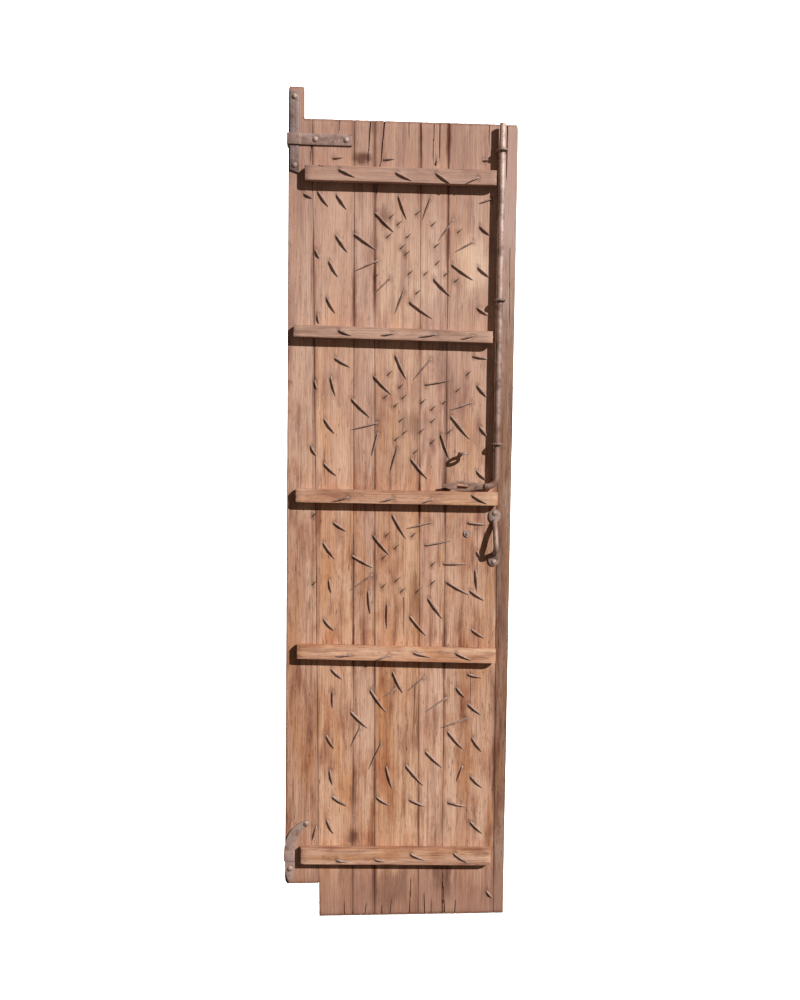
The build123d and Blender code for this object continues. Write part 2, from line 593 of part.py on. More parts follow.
# Ledges
for name, (inset_left, inset_right, left_height, right_height, depth) in ledges.items():
    left_end, right_end = inset_left, leaf_width(left_height) - inset_right
    ledge = plate(
        polygon(
            (left_end, left_height - depth / 2), (right_end, right_height - depth / 2),
            (right_end, right_height + depth / 2), (left_end, left_height + depth / 2),
        ),
        inner_y, LEDGE_THICKNESS,
    )
    front = ledge.faces().sort_by(Axis.Y)[0]
    ledge = chamfer(front.edges(), LEDGE_WORN_EDGE)
    nodes[name] = drilled(ledge)

# Write every sub-part, in the frame of the lower pivot
to_pivot = Pos(-POST_WIDTH / 2, 0, -FOOT_STEP)
os.makedirs("parts", exist_ok=True)
for name, shape in nodes.items():
    solids = shape if isinstance(shape, list) else shape.solids()
    solids = [solid for piece in solids for solid in piece.solids()]
    placed_solids = [to_pivot * solid for solid in solids]
    whole = placed_solids[0] if len(placed_solids) == 1 else Compound(placed_solids)
    export_step(whole, f"parts/{name}.step")
    print(name, len(placed_solids))
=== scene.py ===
# %% [markdown]
# # An old ledged plank door leaf
#
# The real thing is a narrow door leaf of seven upright softwood boards. Five ledges are nailed
# across its inner face, with long nails driven through from the other side and hammered over.
# It hung on wooden pivots of its own, and a long iron bolt slides along its closing edge.
#
# Each board and ledge is modelled again with its worn edges, splits and raised grain, exactly where
# the frame has it. The straps, the bolt and the other iron work are copies of the frame's pieces
# with their edges hammered soft. The nails and one riveted pin are the frame's own, and only get
# a material.

# %% Load the frame
import math

import bmesh
import bpy
from mathutils import Matrix, Vector, noise


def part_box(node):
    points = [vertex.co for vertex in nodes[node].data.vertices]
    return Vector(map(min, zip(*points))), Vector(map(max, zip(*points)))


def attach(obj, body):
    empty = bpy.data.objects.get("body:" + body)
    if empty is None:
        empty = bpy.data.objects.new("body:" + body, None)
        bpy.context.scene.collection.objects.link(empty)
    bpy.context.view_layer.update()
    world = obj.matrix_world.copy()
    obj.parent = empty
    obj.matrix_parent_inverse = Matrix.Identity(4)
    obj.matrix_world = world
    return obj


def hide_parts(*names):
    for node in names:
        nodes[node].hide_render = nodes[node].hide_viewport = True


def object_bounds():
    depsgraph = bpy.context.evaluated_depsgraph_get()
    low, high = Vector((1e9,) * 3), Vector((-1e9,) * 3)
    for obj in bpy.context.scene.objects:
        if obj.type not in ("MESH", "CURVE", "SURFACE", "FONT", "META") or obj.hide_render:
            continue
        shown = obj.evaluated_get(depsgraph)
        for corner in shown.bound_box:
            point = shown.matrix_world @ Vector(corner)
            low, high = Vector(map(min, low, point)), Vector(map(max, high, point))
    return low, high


MM = 0.001
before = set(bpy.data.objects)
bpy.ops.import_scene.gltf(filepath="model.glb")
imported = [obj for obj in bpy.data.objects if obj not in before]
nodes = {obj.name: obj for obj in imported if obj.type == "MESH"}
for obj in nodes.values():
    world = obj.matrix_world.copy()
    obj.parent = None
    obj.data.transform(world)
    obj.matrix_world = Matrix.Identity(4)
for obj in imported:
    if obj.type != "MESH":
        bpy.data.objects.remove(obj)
cad_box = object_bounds()
leaf_low, leaf_high = Vector(cad_box[0]), Vector(cad_box[1])
print("nodes:", len(nodes), "box:", cad_box)

# %% [markdown]
# ## Camera
#
# The photograph was taken from a little above the middle of the leaf and to its left, about 2.6 m
# away, with the camera turned slightly to the right and tipped slightly down. Those numbers come from
# the perspective of the leaf's four corners. They are written here as a place and three angles, so
# that each can be read and changed.

# %% Camera
CAMERA_PLACE = Vector((0.076, -2.639, 1.135))
CAMERA_RIGHT_DEG = 3.84
CAMERA_DOWN_DEG = 4.16
CAMERA_ROLL_DEG = 0.72
# A new camera looks straight down, and this much tip levels it.
LEVEL_DEG = 90
FOCAL_PIXELS = 1100
PHOTO_HEIGHT_PIXELS = 1000
SENSOR_MM = 36

camera_data = bpy.data.cameras.new("camera")
camera_data.sensor_fit = "VERTICAL"
camera_data.sensor_height = SENSOR_MM
camera_data.lens = SENSOR_MM * FOCAL_PIXELS / PHOTO_HEIGHT_PIXELS
camera = bpy.data.objects.new("camera", camera_data)
bpy.context.collection.objects.link(camera)
turn = Matrix.Rotation(math.radians(-CAMERA_RIGHT_DEG), 4, "Z")
tip = Matrix.Rotation(math.radians(LEVEL_DEG - CAMERA_DOWN_DEG), 4, "X")
roll = Matrix.Rotation(math.radians(CAMERA_ROLL_DEG), 4, "Z")
camera.matrix_world = Matrix.Translation(CAMERA_PLACE) @ turn @ tip @ roll
bpy.context.scene.camera = camera
bpy.context.scene.view_settings.view_transform = "Standard"
print("camera at", tuple(CAMERA_PLACE), "lens mm:", camera_data.lens)

# %% [markdown]
# ## Floor and backdrop
#
# The leaf stands on a pale floor that curves up all round into a pale wall, so the ground reads as
# one even tone from any side. A disc whose rim is extruded upwards and bevelled does that. It gives
# the leaf no bounced light, which would wash out the nails' shadows, and it casts no shadow, so its
# wall doesn't stand in the sun's way.

# %% Floor and backdrop
FLOOR_RADIUS = 6.5
FLOOR_SEGMENTS = 96
WALL_HEIGHT = 7.5
SWEEP_RADIUS = 2.5
SWEEP_SEGMENTS = 12

bm = bmesh.new()
bmesh.ops.create_circle(bm, cap_ends=True, radius=FLOOR_RADIUS, segments=FLOOR_SEGMENTS,
                        matrix=Matrix.Translation((0, 0, leaf_low.z)))
rim = list(bm.edges)
grown = bmesh.ops.extrude_edge_only(bm, edges=rim)["geom"]
raised = [g for g in grown if isinstance(g, bmesh.types.BMVert)]
bmesh.ops.translate(bm, verts=raised, vec=(0, 0, WALL_HEIGHT))
bmesh.ops.bevel(bm, geom=rim, offset=SWEEP_RADIUS, offset_type="OFFSET", affect="EDGES",
                segments=SWEEP_SEGMENTS, profile=0.5, material=-1)
for face in bm.faces:
    face.smooth = True
floor_mesh = bpy.data.meshes.new("floor")
bm.to_mesh(floor_mesh)
bm.free()
floor = bpy.data.objects.new("floor", floor_mesh)
bpy.context.collection.objects.link(floor)
floor.visible_diffuse = False
floor.visible_glossy = False
floor.visible_shadow = False
print("floor faces:", len(floor_mesh.polygons))

# %% [markdown]
# ## Sun and sky
#
# The photograph was taken in low sun from the upper right, which throws short dark shadows from
# each nail. A sun lamp with a small angle keeps those shadows crisp. What little light reaches them
# has come off brown earth and wood, so the weak sky that fills them is warm.

# %% Sun and sky
SUN_FROM = Vector((0.88, -1.0, 0.83))
SUN_STRENGTH = 4.75
SUN_ANGLE_DEG = 0.7
SKY_COLOUR = (1.0, 0.83, 0.72, 1.0)
SKY_STRENGTH = 0.14

sun_data = bpy.data.lights.new("sun", "SUN")
sun_data.energy = SUN_STRENGTH
sun_data.angle = math.radians(SUN_ANGLE_DEG)
sun = bpy.data.objects.new("sun", sun_data)
sun.rotation_euler = SUN_FROM.to_track_quat("Z", "Y").to_euler()
bpy.context.collection.objects.link(sun)
world = bpy.data.worlds.new("sky")
world.use_nodes = True
world.node_tree.nodes["Background"].inputs["Color"].default_value = SKY_COLOUR
world.node_tree.nodes["Background"].inputs["Strength"].default_value = SKY_STRENGTH
bpy.context.scene.world = world
print("sun height above level, degrees:", math.degrees(math.asin(SUN_FROM.normalized().z)))

# %% [markdown]
# ## Two soft lamps
#
# A sun this hard would also throw the leaf's long shadow over the pale floor. So the sun leaves the
# floor out, and a wide soft lamp high above lights the floor alone, as a softbox does in a studio.
#
# The outer face turns away from the sun. A second softbox behind the leaf shows it, and from there
# none of its light can reach the face that the photograph shows.

# %% Soft lamps
FLOOR_LAMP_PLACE = (0, 0, 9)
FLOOR_LAMP_SIZE = 12
FLOOR_LAMP_WATTS = 6000
BACK_LAMP_PLACE = Vector((-1.6, 4.0, 2.4))
BACK_LAMP_SIZE = 3
BACK_LAMP_WATTS = 230


def soft_lamp(name, place, size, watts, lit):
    """A square lamp that lights one collection alone. It points straight down until it is turned."""
    data = bpy.data.lights.new(name, "AREA")
    data.shape = "SQUARE"
    data.size = size
    data.energy = watts
    lamp = bpy.data.objects.new(name, data)
    lamp.location = place
    lamp.light_linking.receiver_collection = lit
    bpy.context.collection.objects.link(lamp)
    print(name, "size m:", size, "watts:", watts)
    return lamp


floor_only = bpy.data.collections.new("lit_by_floor_lamp")
floor_only.objects.link(floor)
all_but_floor = bpy.data.collections.new("left_out_by_sun")
all_but_floor.objects.link(floor)
for member in all_but_floor.collection_objects:
    member.light_linking.link_state = "EXCLUDE"
sun.light_linking.receiver_collection = all_but_floor
soft_lamp("floor_lamp", FLOOR_LAMP_PLACE, FLOOR_LAMP_SIZE, FLOOR_LAMP_WATTS, floor_only)
back_lamp = soft_lamp("back_lamp", BACK_LAMP_PLACE, BACK_LAMP_SIZE, BACK_LAMP_WATTS, all_but_floor)
aim = BACK_LAMP_PLACE - (leaf_low + leaf_high) / 2
back_lamp.rotation_euler = aim.to_track_quat("Z", "Y").to_euler()

# %% [markdown]
# ## How the materials are written
#
# Colours are picked as sRGB hex values, as one reads them from a photograph, and one function turns
# them to the linear values that the shader wants. One more small function adds a node: a socket
# gets a plain value or a link from another node.

# %% Colours and nodes
# The sRGB curve is straight near black, and a power curve above its knee.
SRGB_KNEE = 0.04045
SRGB_STRAIGHT = 12.92
SRGB_OFFSET = 0.055
SRGB_POWER = 2.4
# Numbers of the Mix node's sockets for colours.
FACTOR, COLOUR_A, COLOUR_B = 0, 6, 7
MIXED = 2


def linear(hex_colour):
    """An sRGB hex colour as linear RGBA."""
    channels = [int(hex_colour[i:i + 2], 16) / 255 for i in (1, 3, 5)]
    low = [c / SRGB_STRAIGHT for c in channels]
    high = [((c + SRGB_OFFSET) / (1 + SRGB_OFFSET)) ** SRGB_POWER for c in channels]
    return [lo if c <= SRGB_KNEE else hi for c, lo, hi in zip(channels, low, high)] + [1]


def add(tree, kind, sockets, **settings):
    """Add a node with its settings, and give each socket its value or its link."""
    node = tree.nodes.new(kind)
    for name, value in settings.items():
        setattr(node, name, value)
    for socket, value in sockets.items():
        if isinstance(value, bpy.types.NodeSocket):
            tree.links.new(node.inputs[socket], value)
        else:
            node.inputs[socket].default_value = value
    return node


def bare_material(name):
    """A new material with nothing in its node tree."""
    material = bpy.data.materials.new(name)
    material.use_nodes = True
    material.node_tree.nodes.clear()
    return material


print("mid grey as linear:", linear("#808080"))

# %% [markdown]
# ## Glazes and brushwork
#
# A surface is built up in layers, as a painter glazes. Each layer is a noise of one size in
# millimetres that says where a thin tint lies. On top come tints that follow the shape of the piece.
# They lie where attributes of its own mesh say, such as how near a corner is to a seam or a nail.

# %% Glazes and brushwork
# Each layer's noise is moved by these multiples of the piece's own shift, so no two pieces match.
SHIFT_Y = 1.7
SHIFT_Z = 2.3
NOISE_ROUGHNESS = 0.6


def glazed(tree, colour, layers, shift):
    """Lay tinted noise layers over a colour; returns the colour and each layer's noise."""
    place = add(tree, "ShaderNodeTexCoord", {}).outputs["Object"]
    noises = {}
    for number, (title, size_mm, detail, start, full, strength, tint) in enumerate(layers):
        offset = (shift + number, shift * SHIFT_Y + number, shift * SHIFT_Z - number)
        scale = [1 / (MM * s) for s in size_mm]
        placed = add(tree, "ShaderNodeMapping", {"Vector": place, "Location": offset, "Scale": scale})
        texture = add(tree, "ShaderNodeTexNoise", {
            "Vector": placed.outputs[0], "Scale": 1.0, "Detail": detail,
            "Roughness": NOISE_ROUGHNESS})
        noises[title] = texture.outputs["Fac"]
        share = add(tree, "ShaderNodeMapRange", {
            "Value": noises[title], "From Min": start, "From Max": full, "To Max": strength})
        tinted = {FACTOR: share.outputs[0], COLOUR_A: colour, COLOUR_B: linear(tint)}
        mixed = add(tree, "ShaderNodeMix", tinted, data_type="RGBA", blend_type="MULTIPLY")
        colour = mixed.outputs[MIXED]
    return colour, noises


def brushed(tree, colour, layers):
    """Lay a tint over a colour for each attribute, as strongly as the attribute says."""
    for attribute, blend, tint in layers:
        painted = add(tree, "ShaderNodeAttribute", {}, attribute_name=attribute)
        tinted = {FACTOR: painted.outputs["Fac"], COLOUR_A: colour, COLOUR_B: linear(tint)}
        mixed = add(tree, "ShaderNodeMix", tinted, data_type="RGBA", blend_type=blend)
        colour = mixed.outputs[MIXED]
    return colour


print("all noise has roughness", NOISE_ROUGHNESS)

# %% [markdown]
# ## Weathered softwood
#
# The boards are bare pine that a century of sun and rain has turned from yellow to a dusty pinkish
# tan. The soft early wood has worn away between the hard late wood, which leaves fine ribs along
# the grain. The eye sees pale and darker streaks a few millimetres wide that run the whole board,
# mauve smears near the seams, short dark checks, and a grey, frayed foot.

# %% Weathered softwood
WOOD_ROUGHNESS = 0.85
WOOD_IOR = 1.48
WOOD_SPECULAR = 0.22
# Ribs of late wood stand about half a millimetre proud, as the noise spans under half of this
# height, and fine checks lie between them.
RIB_DISTANCE_MM = 1.3
RIB_STRENGTH = 0.8
RINGS_SHARE = 0.9
STREAKS_SHARE = 0.8
# Title, size across and along the grain in mm, detail, where it starts and is full, strength, tint.
GRAIN_LAYERS = [
    ("tone", 45, 600, 2, 0.40, 0.62, 0.45, "#cca58f"),
    ("honey", 38, 260, 3, 0.50, 0.64, 0.60, "#f3d9ae"),
    ("smear", 24, 150, 5, 0.50, 0.68, 0.75, "#ad877d"),
    ("streaks", 8, 380, 5, 0.50, 0.34, 0.38, "#a98372"),
    ("rings", 3.4, 160, 4, 0.46, 0.34, 0.32, "#8a6250"),
    ("fine", 1.8, 34, 4, 0.46, 0.32, 0.46, "#7c5848"),
    ("blotch", 50, 80, 5, 0.48, 0.34, 0.45, "#d2a68e"),
    ("checks", 2.4, 26, 2, 0.34, 0.30, 0.75, "#5c3c2e"),
]
# Attribute, how its tint is laid, and the tint.
PAINTED_LAYERS = [
    ("weather", "MULTIPLY", "#c9aa9c"),
    ("dust", "MIX", "#cbafa3"),
    ("grey", "MIX", "#9f7765"),
    ("bleach", "SCREEN", "#a08268"),
    # The edge tint lays seam dirt, and painted shade in the splits.
    ("edge", "MULTIPLY", "#8e6a60"),
    ("stain", "MULTIPLY", "#6e4a3c"),
]


def weathered_softwood(name, along, tint, shift):
    """Bare weathered pine; along is 'z' for an upright board and 'x' for a ledge."""
    material = bare_material(name)
    tree = material.node_tree
    layers = []
    for title, across, length, *rest in GRAIN_LAYERS:
        size_mm = (length, across, across) if along == "x" else (across, across, length)
        layers.append((title, size_mm, *rest))
    colour, noises = glazed(tree, linear(tint), layers, shift)
    colour = brushed(tree, colour, PAINTED_LAYERS)
    ribs = add(tree, "ShaderNodeMath", {0: noises["rings"], 1: RINGS_SHARE, 2: noises["fine"]},
               operation="MULTIPLY_ADD")
    relief = add(tree, "ShaderNodeMath", {0: noises["streaks"], 1: STREAKS_SHARE, 2: ribs.outputs[0]},
                 operation="MULTIPLY_ADD")
    bump = add(tree, "ShaderNodeBump", {
        "Height": relief.outputs[0], "Distance": RIB_DISTANCE_MM * MM, "Strength": RIB_STRENGTH})
    shader = add(tree, "ShaderNodeBsdfPrincipled", {
        "Base Color": colour, "Normal": bump.outputs[0], "Roughness": WOOD_ROUGHNESS,
        "IOR": WOOD_IOR, "Specular IOR Level": WOOD_SPECULAR})
    add(tree, "ShaderNodeOutputMaterial", {"Surface": shader.outputs[0]})
    return material


print("layers of the wood:", [layer[0] for layer in GRAIN_LAYERS + PAINTED_LAYERS])

# %% [markdown]
# ## Forged iron
#
# The straps, bolt and nails are wrought iron, drawn out under a hammer and never painted. Handling
# and weather have given them a thin brown skin over grey metal. It is only half glossy, and the hammer
# leaves shallow facets, about 15 mm across on large pieces and 5 mm on nails. The hasp is darker
# than its rod, where hands took hold of it, so the bolt carries an attribute that says how much it
# was handled.

# %% Forged iron
IRON_METALLIC = 0.35
IRON_SMOOTHEST = 0.52
IRON_ROUGHEST = 0.78
FACET_DISTANCE_MM = 1.0
FACET_STRENGTH = 0.5
GRAIN_SHARE = 0.3
# Title, size in mm, detail, where it starts and is full, strength, tint. The facets' size comes with
# the piece, as a small hammer leaves small ones.
IRON_LAYERS = [
    ("rust", 20, 5, 0.50, 0.64, 0.4, "#cf9c80"),
    ("soot", 32, 4, 0.50, 0.36, 0.6, "#8f8280"),
    ("grain", 1.8, 3, 0.48, 0.34, 0.5, "#7d6458"),
    ("facets", None, 1, 0.45, 0.30, 0.3, "#a89c98"),
]
HANDLED_LAYER = [("handled", "MULTIPLY", "#c6b6ac")]
# Tint, size of the hammer's facets in mm, and shift of the pattern.
IRONS = {
    "bolt": ("#c8afa3", 14, 0.3),
    "handle": ("#a38b80", 14, 0.3),
    "shoe": ("#b2978c", 16, 1.9),
    "cross_strap": ("#997f75", 16, 1.9),
    "post_strap": ("#927e77", 16, 1.9),
    "nail": ("#b8a093", 5, 4.4),
    "small_nail": ("#6b5347", 5, 7.7),
}


def forged_iron(name, tint, hammer_mm, shift):
    """Wrought iron under a thin brown skin of rust, with hammer facets of one size."""
    material = bare_material(name)
    tree = material.node_tree
    layers = [(title, (size or hammer_mm,) * 3, *rest) for title, size, *rest in IRON_LAYERS]
    colour, noises = glazed(tree, linear(tint), layers, shift)
    colour = brushed(tree, colour, HANDLED_LAYER)
    relief = add(tree, "ShaderNodeMath", {0: noises["grain"], 1: GRAIN_SHARE, 2: noises["facets"]},
                 operation="MULTIPLY_ADD")
    bump = add(tree, "ShaderNodeBump", {
        "Height": relief.outputs[0], "Distance": FACET_DISTANCE_MM * MM, "Strength": FACET_STRENGTH})
    rough = add(tree, "ShaderNodeMapRange", {
        "Value": noises["rust"], "To Min": IRON_SMOOTHEST, "To Max": IRON_ROUGHEST})
    shader = add(tree, "ShaderNodeBsdfPrincipled", {
        "Base Color": colour, "Normal": bump.outputs[0], "Roughness": rough.outputs[0],
        "Metallic": IRON_METALLIC})
    add(tree, "ShaderNodeOutputMaterial", {"Surface": shader.outputs[0]})
    return material


irons = {piece: forged_iron("forged_iron_" + piece, *look) for piece, look in IRONS.items()}
print("iron:", [material.name for material in irons.values()])

# %% [markdown]
# ## Pale floor paint
#
# The floor is a studio's matt off-white emulsion. It has no pattern, so nothing in it draws the eye.

# %% Pale floor paint
PAINT_COLOUR = "#f2f1ef"
PAINT_ROUGHNESS = 0.9

floor_paint = bare_material("pale_floor_paint")
floor_shader = add(floor_paint.node_tree, "ShaderNodeBsdfPrincipled", {
    "Base Color": linear(PAINT_COLOUR), "Roughness": PAINT_ROUGHNESS})
add(floor_paint.node_tree, "ShaderNodeOutputMaterial", {"Surface": floor_shader.outputs[0]})
floor.data.materials.append(floor_paint)
print("floor material:", floor_paint.name)

# %% [markdown]
# ## Where the nails stand
#
# Each nail comes through the wood at a point of its own, and iron stains the wood round that point.
# The nails of a panel are one node of separate solids, so the node's loose parts give the points.
# A long nail that was hammered over stains more than a short one whose point only just shows.

# %% Nail points
# Corners this near each other are one corner.
TOUCHING_MM = 0.01
# A nail's head stands further out of the outer face than this.
HEAD_PROUD_MM = 0.5
# A nail whose point lies further to the side than this was hammered over.
LONG_NAIL_MM = 15
LONG_NAIL_STAIN = 0.5
SHORT_NAIL_STAIN = 0.35


def loose_parts(node):
    """The separate solids of a node, each as a list of its corners."""
    bm = bmesh.new()
    bm.from_mesh(nodes[node].data)
    bmesh.ops.remove_doubles(bm, verts=bm.verts, dist=TOUCHING_MM * MM)
    # A dict keeps the corners in order, which a set doesn't, so every run gives the same parts.
    left = dict.fromkeys(bm.verts)
    parts = []
    while left:
        grow = [left.popitem()[0]]
        part = []
        while grow:
            vert = grow.pop()
            part.append(vert.co.copy())
            for edge in vert.link_edges:
                other = edge.other_vert(vert)
                if other in left:
                    del left[other]
                    grow.append(other)
        parts.append(part)
    bm.free()
    return parts


inner_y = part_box("board_4")[0].y
outer_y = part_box("board_4")[1].y
nail_nodes = sorted(n for n in nodes if n.endswith("_nails") or n.startswith("small_nails"))
nail_points = []
for node in nail_nodes:
    for part in loose_parts(node):
        head = [p for p in part if p.y > outer_y + HEAD_PROUD_MM * MM]
        if not head:
            continue
        middle = sum(head, Vector()) / len(head)
        reach = max((p - middle).xz.length for p in part)
        stain = LONG_NAIL_STAIN if reach > LONG_NAIL_MM * MM else SHORT_NAIL_STAIN
        nail_points.append((middle.x / MM, middle.z / MM, stain))
print("nail points:", len(nail_points))

# %% [markdown]
# ## The outline of a plank
#
# How worn a point is depends on how far it lies from the nearest side of the plank's outline. So the
# outline is kept as a list of sides, and a few lines of vector arithmetic give that distance.
#
# A board's outline comes from the corners of its faces. Its tongue stands out at mid depth, so the
# corners there are left out.

# %% Outline of a plank
HAS_TONGUE = ("board_2", "board_3", "board_4", "board_5", "board_6", "closing_board")
# A tongue lies within this distance of mid depth.
TONGUE_HALF_MM = 5
# Corners within this distance of an end belong to the end.
END_REACH_MM = 6


def corners_of(node, along):
    """Low and high limits across, at the low and high end of a node that runs along an axis."""
    lengthwise, crosswise = (2, 0) if along == "z" else (0, 2)
    points = [v.co for v in nodes[node].data.vertices]
    if node in HAS_TONGUE:
        points = [p for p in points if abs(p.y) > TONGUE_HALF_MM * MM]
    low, high = min(p[lengthwise] for p in points), max(p[lengthwise] for p in points)
    ends = []
    for limit in (low, high):
        near = [p[crosswise] for p in points if abs(p[lengthwise] - limit) < END_REACH_MM * MM]
        ends.append((min(near), max(near)))
    return low, high, ends[0], ends[1]


def sides_of(corners):
    """The sides of an outline that runs round anticlockwise, as start, direction, inward, length."""
    sides = []
    for start, stop in zip(corners, corners[1:] + corners[:1]):
        run = stop - start
        direction = run.normalized()
        sides.append((start, direction, Vector((-direction.y, direction.x)), run.length))
    return sides


def gap_to(side, point):
    """Distance in mm from a point to one side of an outline."""
    start, direction, _, length = side
    t = min(length, max(0, (point - start).dot(direction)))
    return (point - start - direction * t).length / MM


print("board_4 runs from", corners_of("board_4", "z"))

# %% [markdown]
# ## A plank as a grid
#
# A plank starts as a cube. It is cut across its width and along its length into a fine grid, then
# each corner of the grid is moved to its place between the four corners that the frame gives. The
# columns crowd towards both edges, where the wear is. The depth is cut where the tongue and the
# groove begin and end.

# %% A plank as a grid
EDGE_STEPS_MM = (0, 1.2, 2.6, 4.5, 7.5)
CELL_ACROSS_MM = 5
CELL_ALONG_MM = 9
# The tongue and the groove take 9 mm of a board's 30 mm.
GROOVE_SHARE = 9 / 30
DEEP_CUTS = (0, 0.5 - GROOVE_SHARE / 2, 0.5, 0.5 + GROOVE_SHARE / 2, 1)


def columns_for(width):
    """How many columns a plank of this width is cut into."""
    near = len(EDGE_STEPS_MM) - 1
    return max(2 * near + 2, round(width / MM / CELL_ACROSS_MM) + near)


def spread(place, count, width):
    """Where a column of the grid lies, counted from one edge of the plank."""
    near = len(EDGE_STEPS_MM) - 1
    if place <= near:
        return EDGE_STEPS_MM[place] * MM
    if place >= count - near:
        return width - EDGE_STEPS_MM[count - place] * MM
    inner = width - 2 * EDGE_STEPS_MM[-1] * MM
    return EDGE_STEPS_MM[-1] * MM + inner * (place - near) / (count - 2 * near)


def depth_at(share, low_y, high_y):
    """Where a layer of the grid lies between the inner and the outer face."""
    return low_y + (high_y - low_y) * DEEP_CUTS[round(share * (len(DEEP_CUTS) - 1))]


def grid_block(cuts_across, cuts_along):
    """A unit cube cut into a grid: x across, y deep, z along."""
    bm = bmesh.new()
    bmesh.ops.create_cube(bm, size=1, matrix=Matrix.Translation((0.5, 0.5, 0.5)))
    for axis, cuts in ((0, cuts_across), (2, cuts_along), (1, len(DEEP_CUTS) - 2)):
        # An edge that still runs the whole cube along this axis is the only kind longer than half.
        lines = [e for e in bm.edges if abs((e.verts[0].co - e.verts[1].co)[axis]) > 0.5]
        bmesh.ops.subdivide_edges(bm, edges=lines, cuts=cuts, use_grid_fill=True)
    return bm


print("a board 130 mm wide has", columns_for(130 * MM), "columns")

# %% [markdown]
# The grid of a plank is then laid over its node: u, v and w run from 0 to 1 across, through and along
# it. The outline goes with it, because the wear is measured from there.

# %% Laying a plank
def laid_plank(name, along):
    """A gridded block laid between the four corners of a node, with its outline and long sides."""
    low, high, at_low, at_high = corners_of(name, along)
    box_low, box_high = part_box(name)
    count = columns_for(at_high[1] - at_high[0])
    bm = grid_block(count - 1, round((high - low) / MM / CELL_ALONG_MM) - 1)
    for vert in bm.verts:
        u, v, w = vert.co
        start = at_low[0] + (at_high[0] - at_low[0]) * w
        stop = at_low[1] + (at_high[1] - at_low[1]) * w
        across = start + spread(round(u * count), count, stop - start)
        length = low + (high - low) * w
        deep = depth_at(v, box_low.y, box_high.y)
        vert.co = (across, deep, length) if along == "z" else (length, deep, across)
    if along == "z":
        outline = [(at_low[0], low), (at_low[1], low), (at_high[1], high), (at_high[0], high)]
        long_sides = (1, 3)
    else:
        outline = [(low, at_low[0]), (high, at_high[0]), (high, at_high[1]), (low, at_low[1])]
        long_sides = (0, 2)
    return bm, [Vector(c) for c in outline], long_sides


print("the depth of a plank is cut at these shares of it:", DEEP_CUTS)

# %% [markdown]
# ## Wear
#
# Small moves of the corners round the worn edges, sink the soft grain and fray the ends. Faces and
# ends only ever move inwards. The sides of the boards stand up to a millimetre out, as old boards
# have crept together, so the seams are hairlines that come and go. Ledges have nothing beside
# them, and their sides are worn in.

# %% How edges and faces wear
# The face lies this much lower than new. Ridges and dents each change that by this share of it.
FACE_RELIEF_MM = 0.35
RELIEF_SHARE = 0.5
RIDGE_ACROSS_MM, RIDGE_ALONG_MM = 9, 260
DENT_ACROSS_MM, DENT_ALONG_MM = 40, 140
DENT_SEED = 2.1


def noise_at(x, y, z):
    """Smooth noise between about -1 and 1."""
    return noise.noise(Vector((x, y, z)))


def smooth_step(low, high, value):
    """0 up to low, 1 from high on, and an S-curve between them."""
    t = min(1, max(0, (value - low) / (high - low)))
    return t * t * (3 - 2 * t)


def wear(distance, radius):
    """How far a worn round edge lies below the flat, at a distance from the edge, in mm."""
    if distance >= radius:
        return 0
    return radius - math.sqrt(max(0, radius ** 2 - (radius - distance) ** 2))


def face_relief(across, length, seed):
    """How far the worn grain lies below a new face at a place, in mm."""
    ridge = noise_at(across / (RIDGE_ACROSS_MM * MM), seed, length / (RIDGE_ALONG_MM * MM))
    dent = noise_at(across / (DENT_ACROSS_MM * MM), seed * DENT_SEED, length / (DENT_ALONG_MM * MM))
    return FACE_RELIEF_MM * (1 + RELIEF_SHARE * ridge + RELIEF_SHARE * dent)


print("a 2 mm edge is worn down by", wear(0, 2), "mm at the edge and by", wear(1, 2), "mm 1 mm in")

# %% [markdown]
# One pass over the corners does it all. A corner on a face sinks, a corner on a side or an end is
# drawn in, and a corner where both meet does both, which rounds the edge. Each corner also keeps
# how far it lies from a long side, for the dirt in the seams.

# %% Wearing a plank
# A corner within this distance of a face or a side lies on it.
ON_FACE_MM = 0.01
ON_SIDE_MM = 0.01
# The worn radius drifts by this share, so often to a metre across, and once in so many mm along.
RADIUS_DRIFT = 0.6
RADIUS_TURNS_PER_M = 9
RADIUS_ALONG_MM = 55
# No face sinks by more than this share of the way to mid depth.
SINK_LIMIT = 0.6
# A side wanders in and out by this much. An end is drawn in by this share of its wear, give or take
# as much again.
SIDE_WANDER_MM = 0.35
SIDE_ALONG_MM = 60
SIDE_SEED = 3
FRAY_SHARE = 0.4
FRAY_ACROSS_MM = 7
FRAY_ROW = 5
# Where a side or an end meets a face, the corner is drawn in further by this share of its radius.
CORNER_SHARE = 0.3


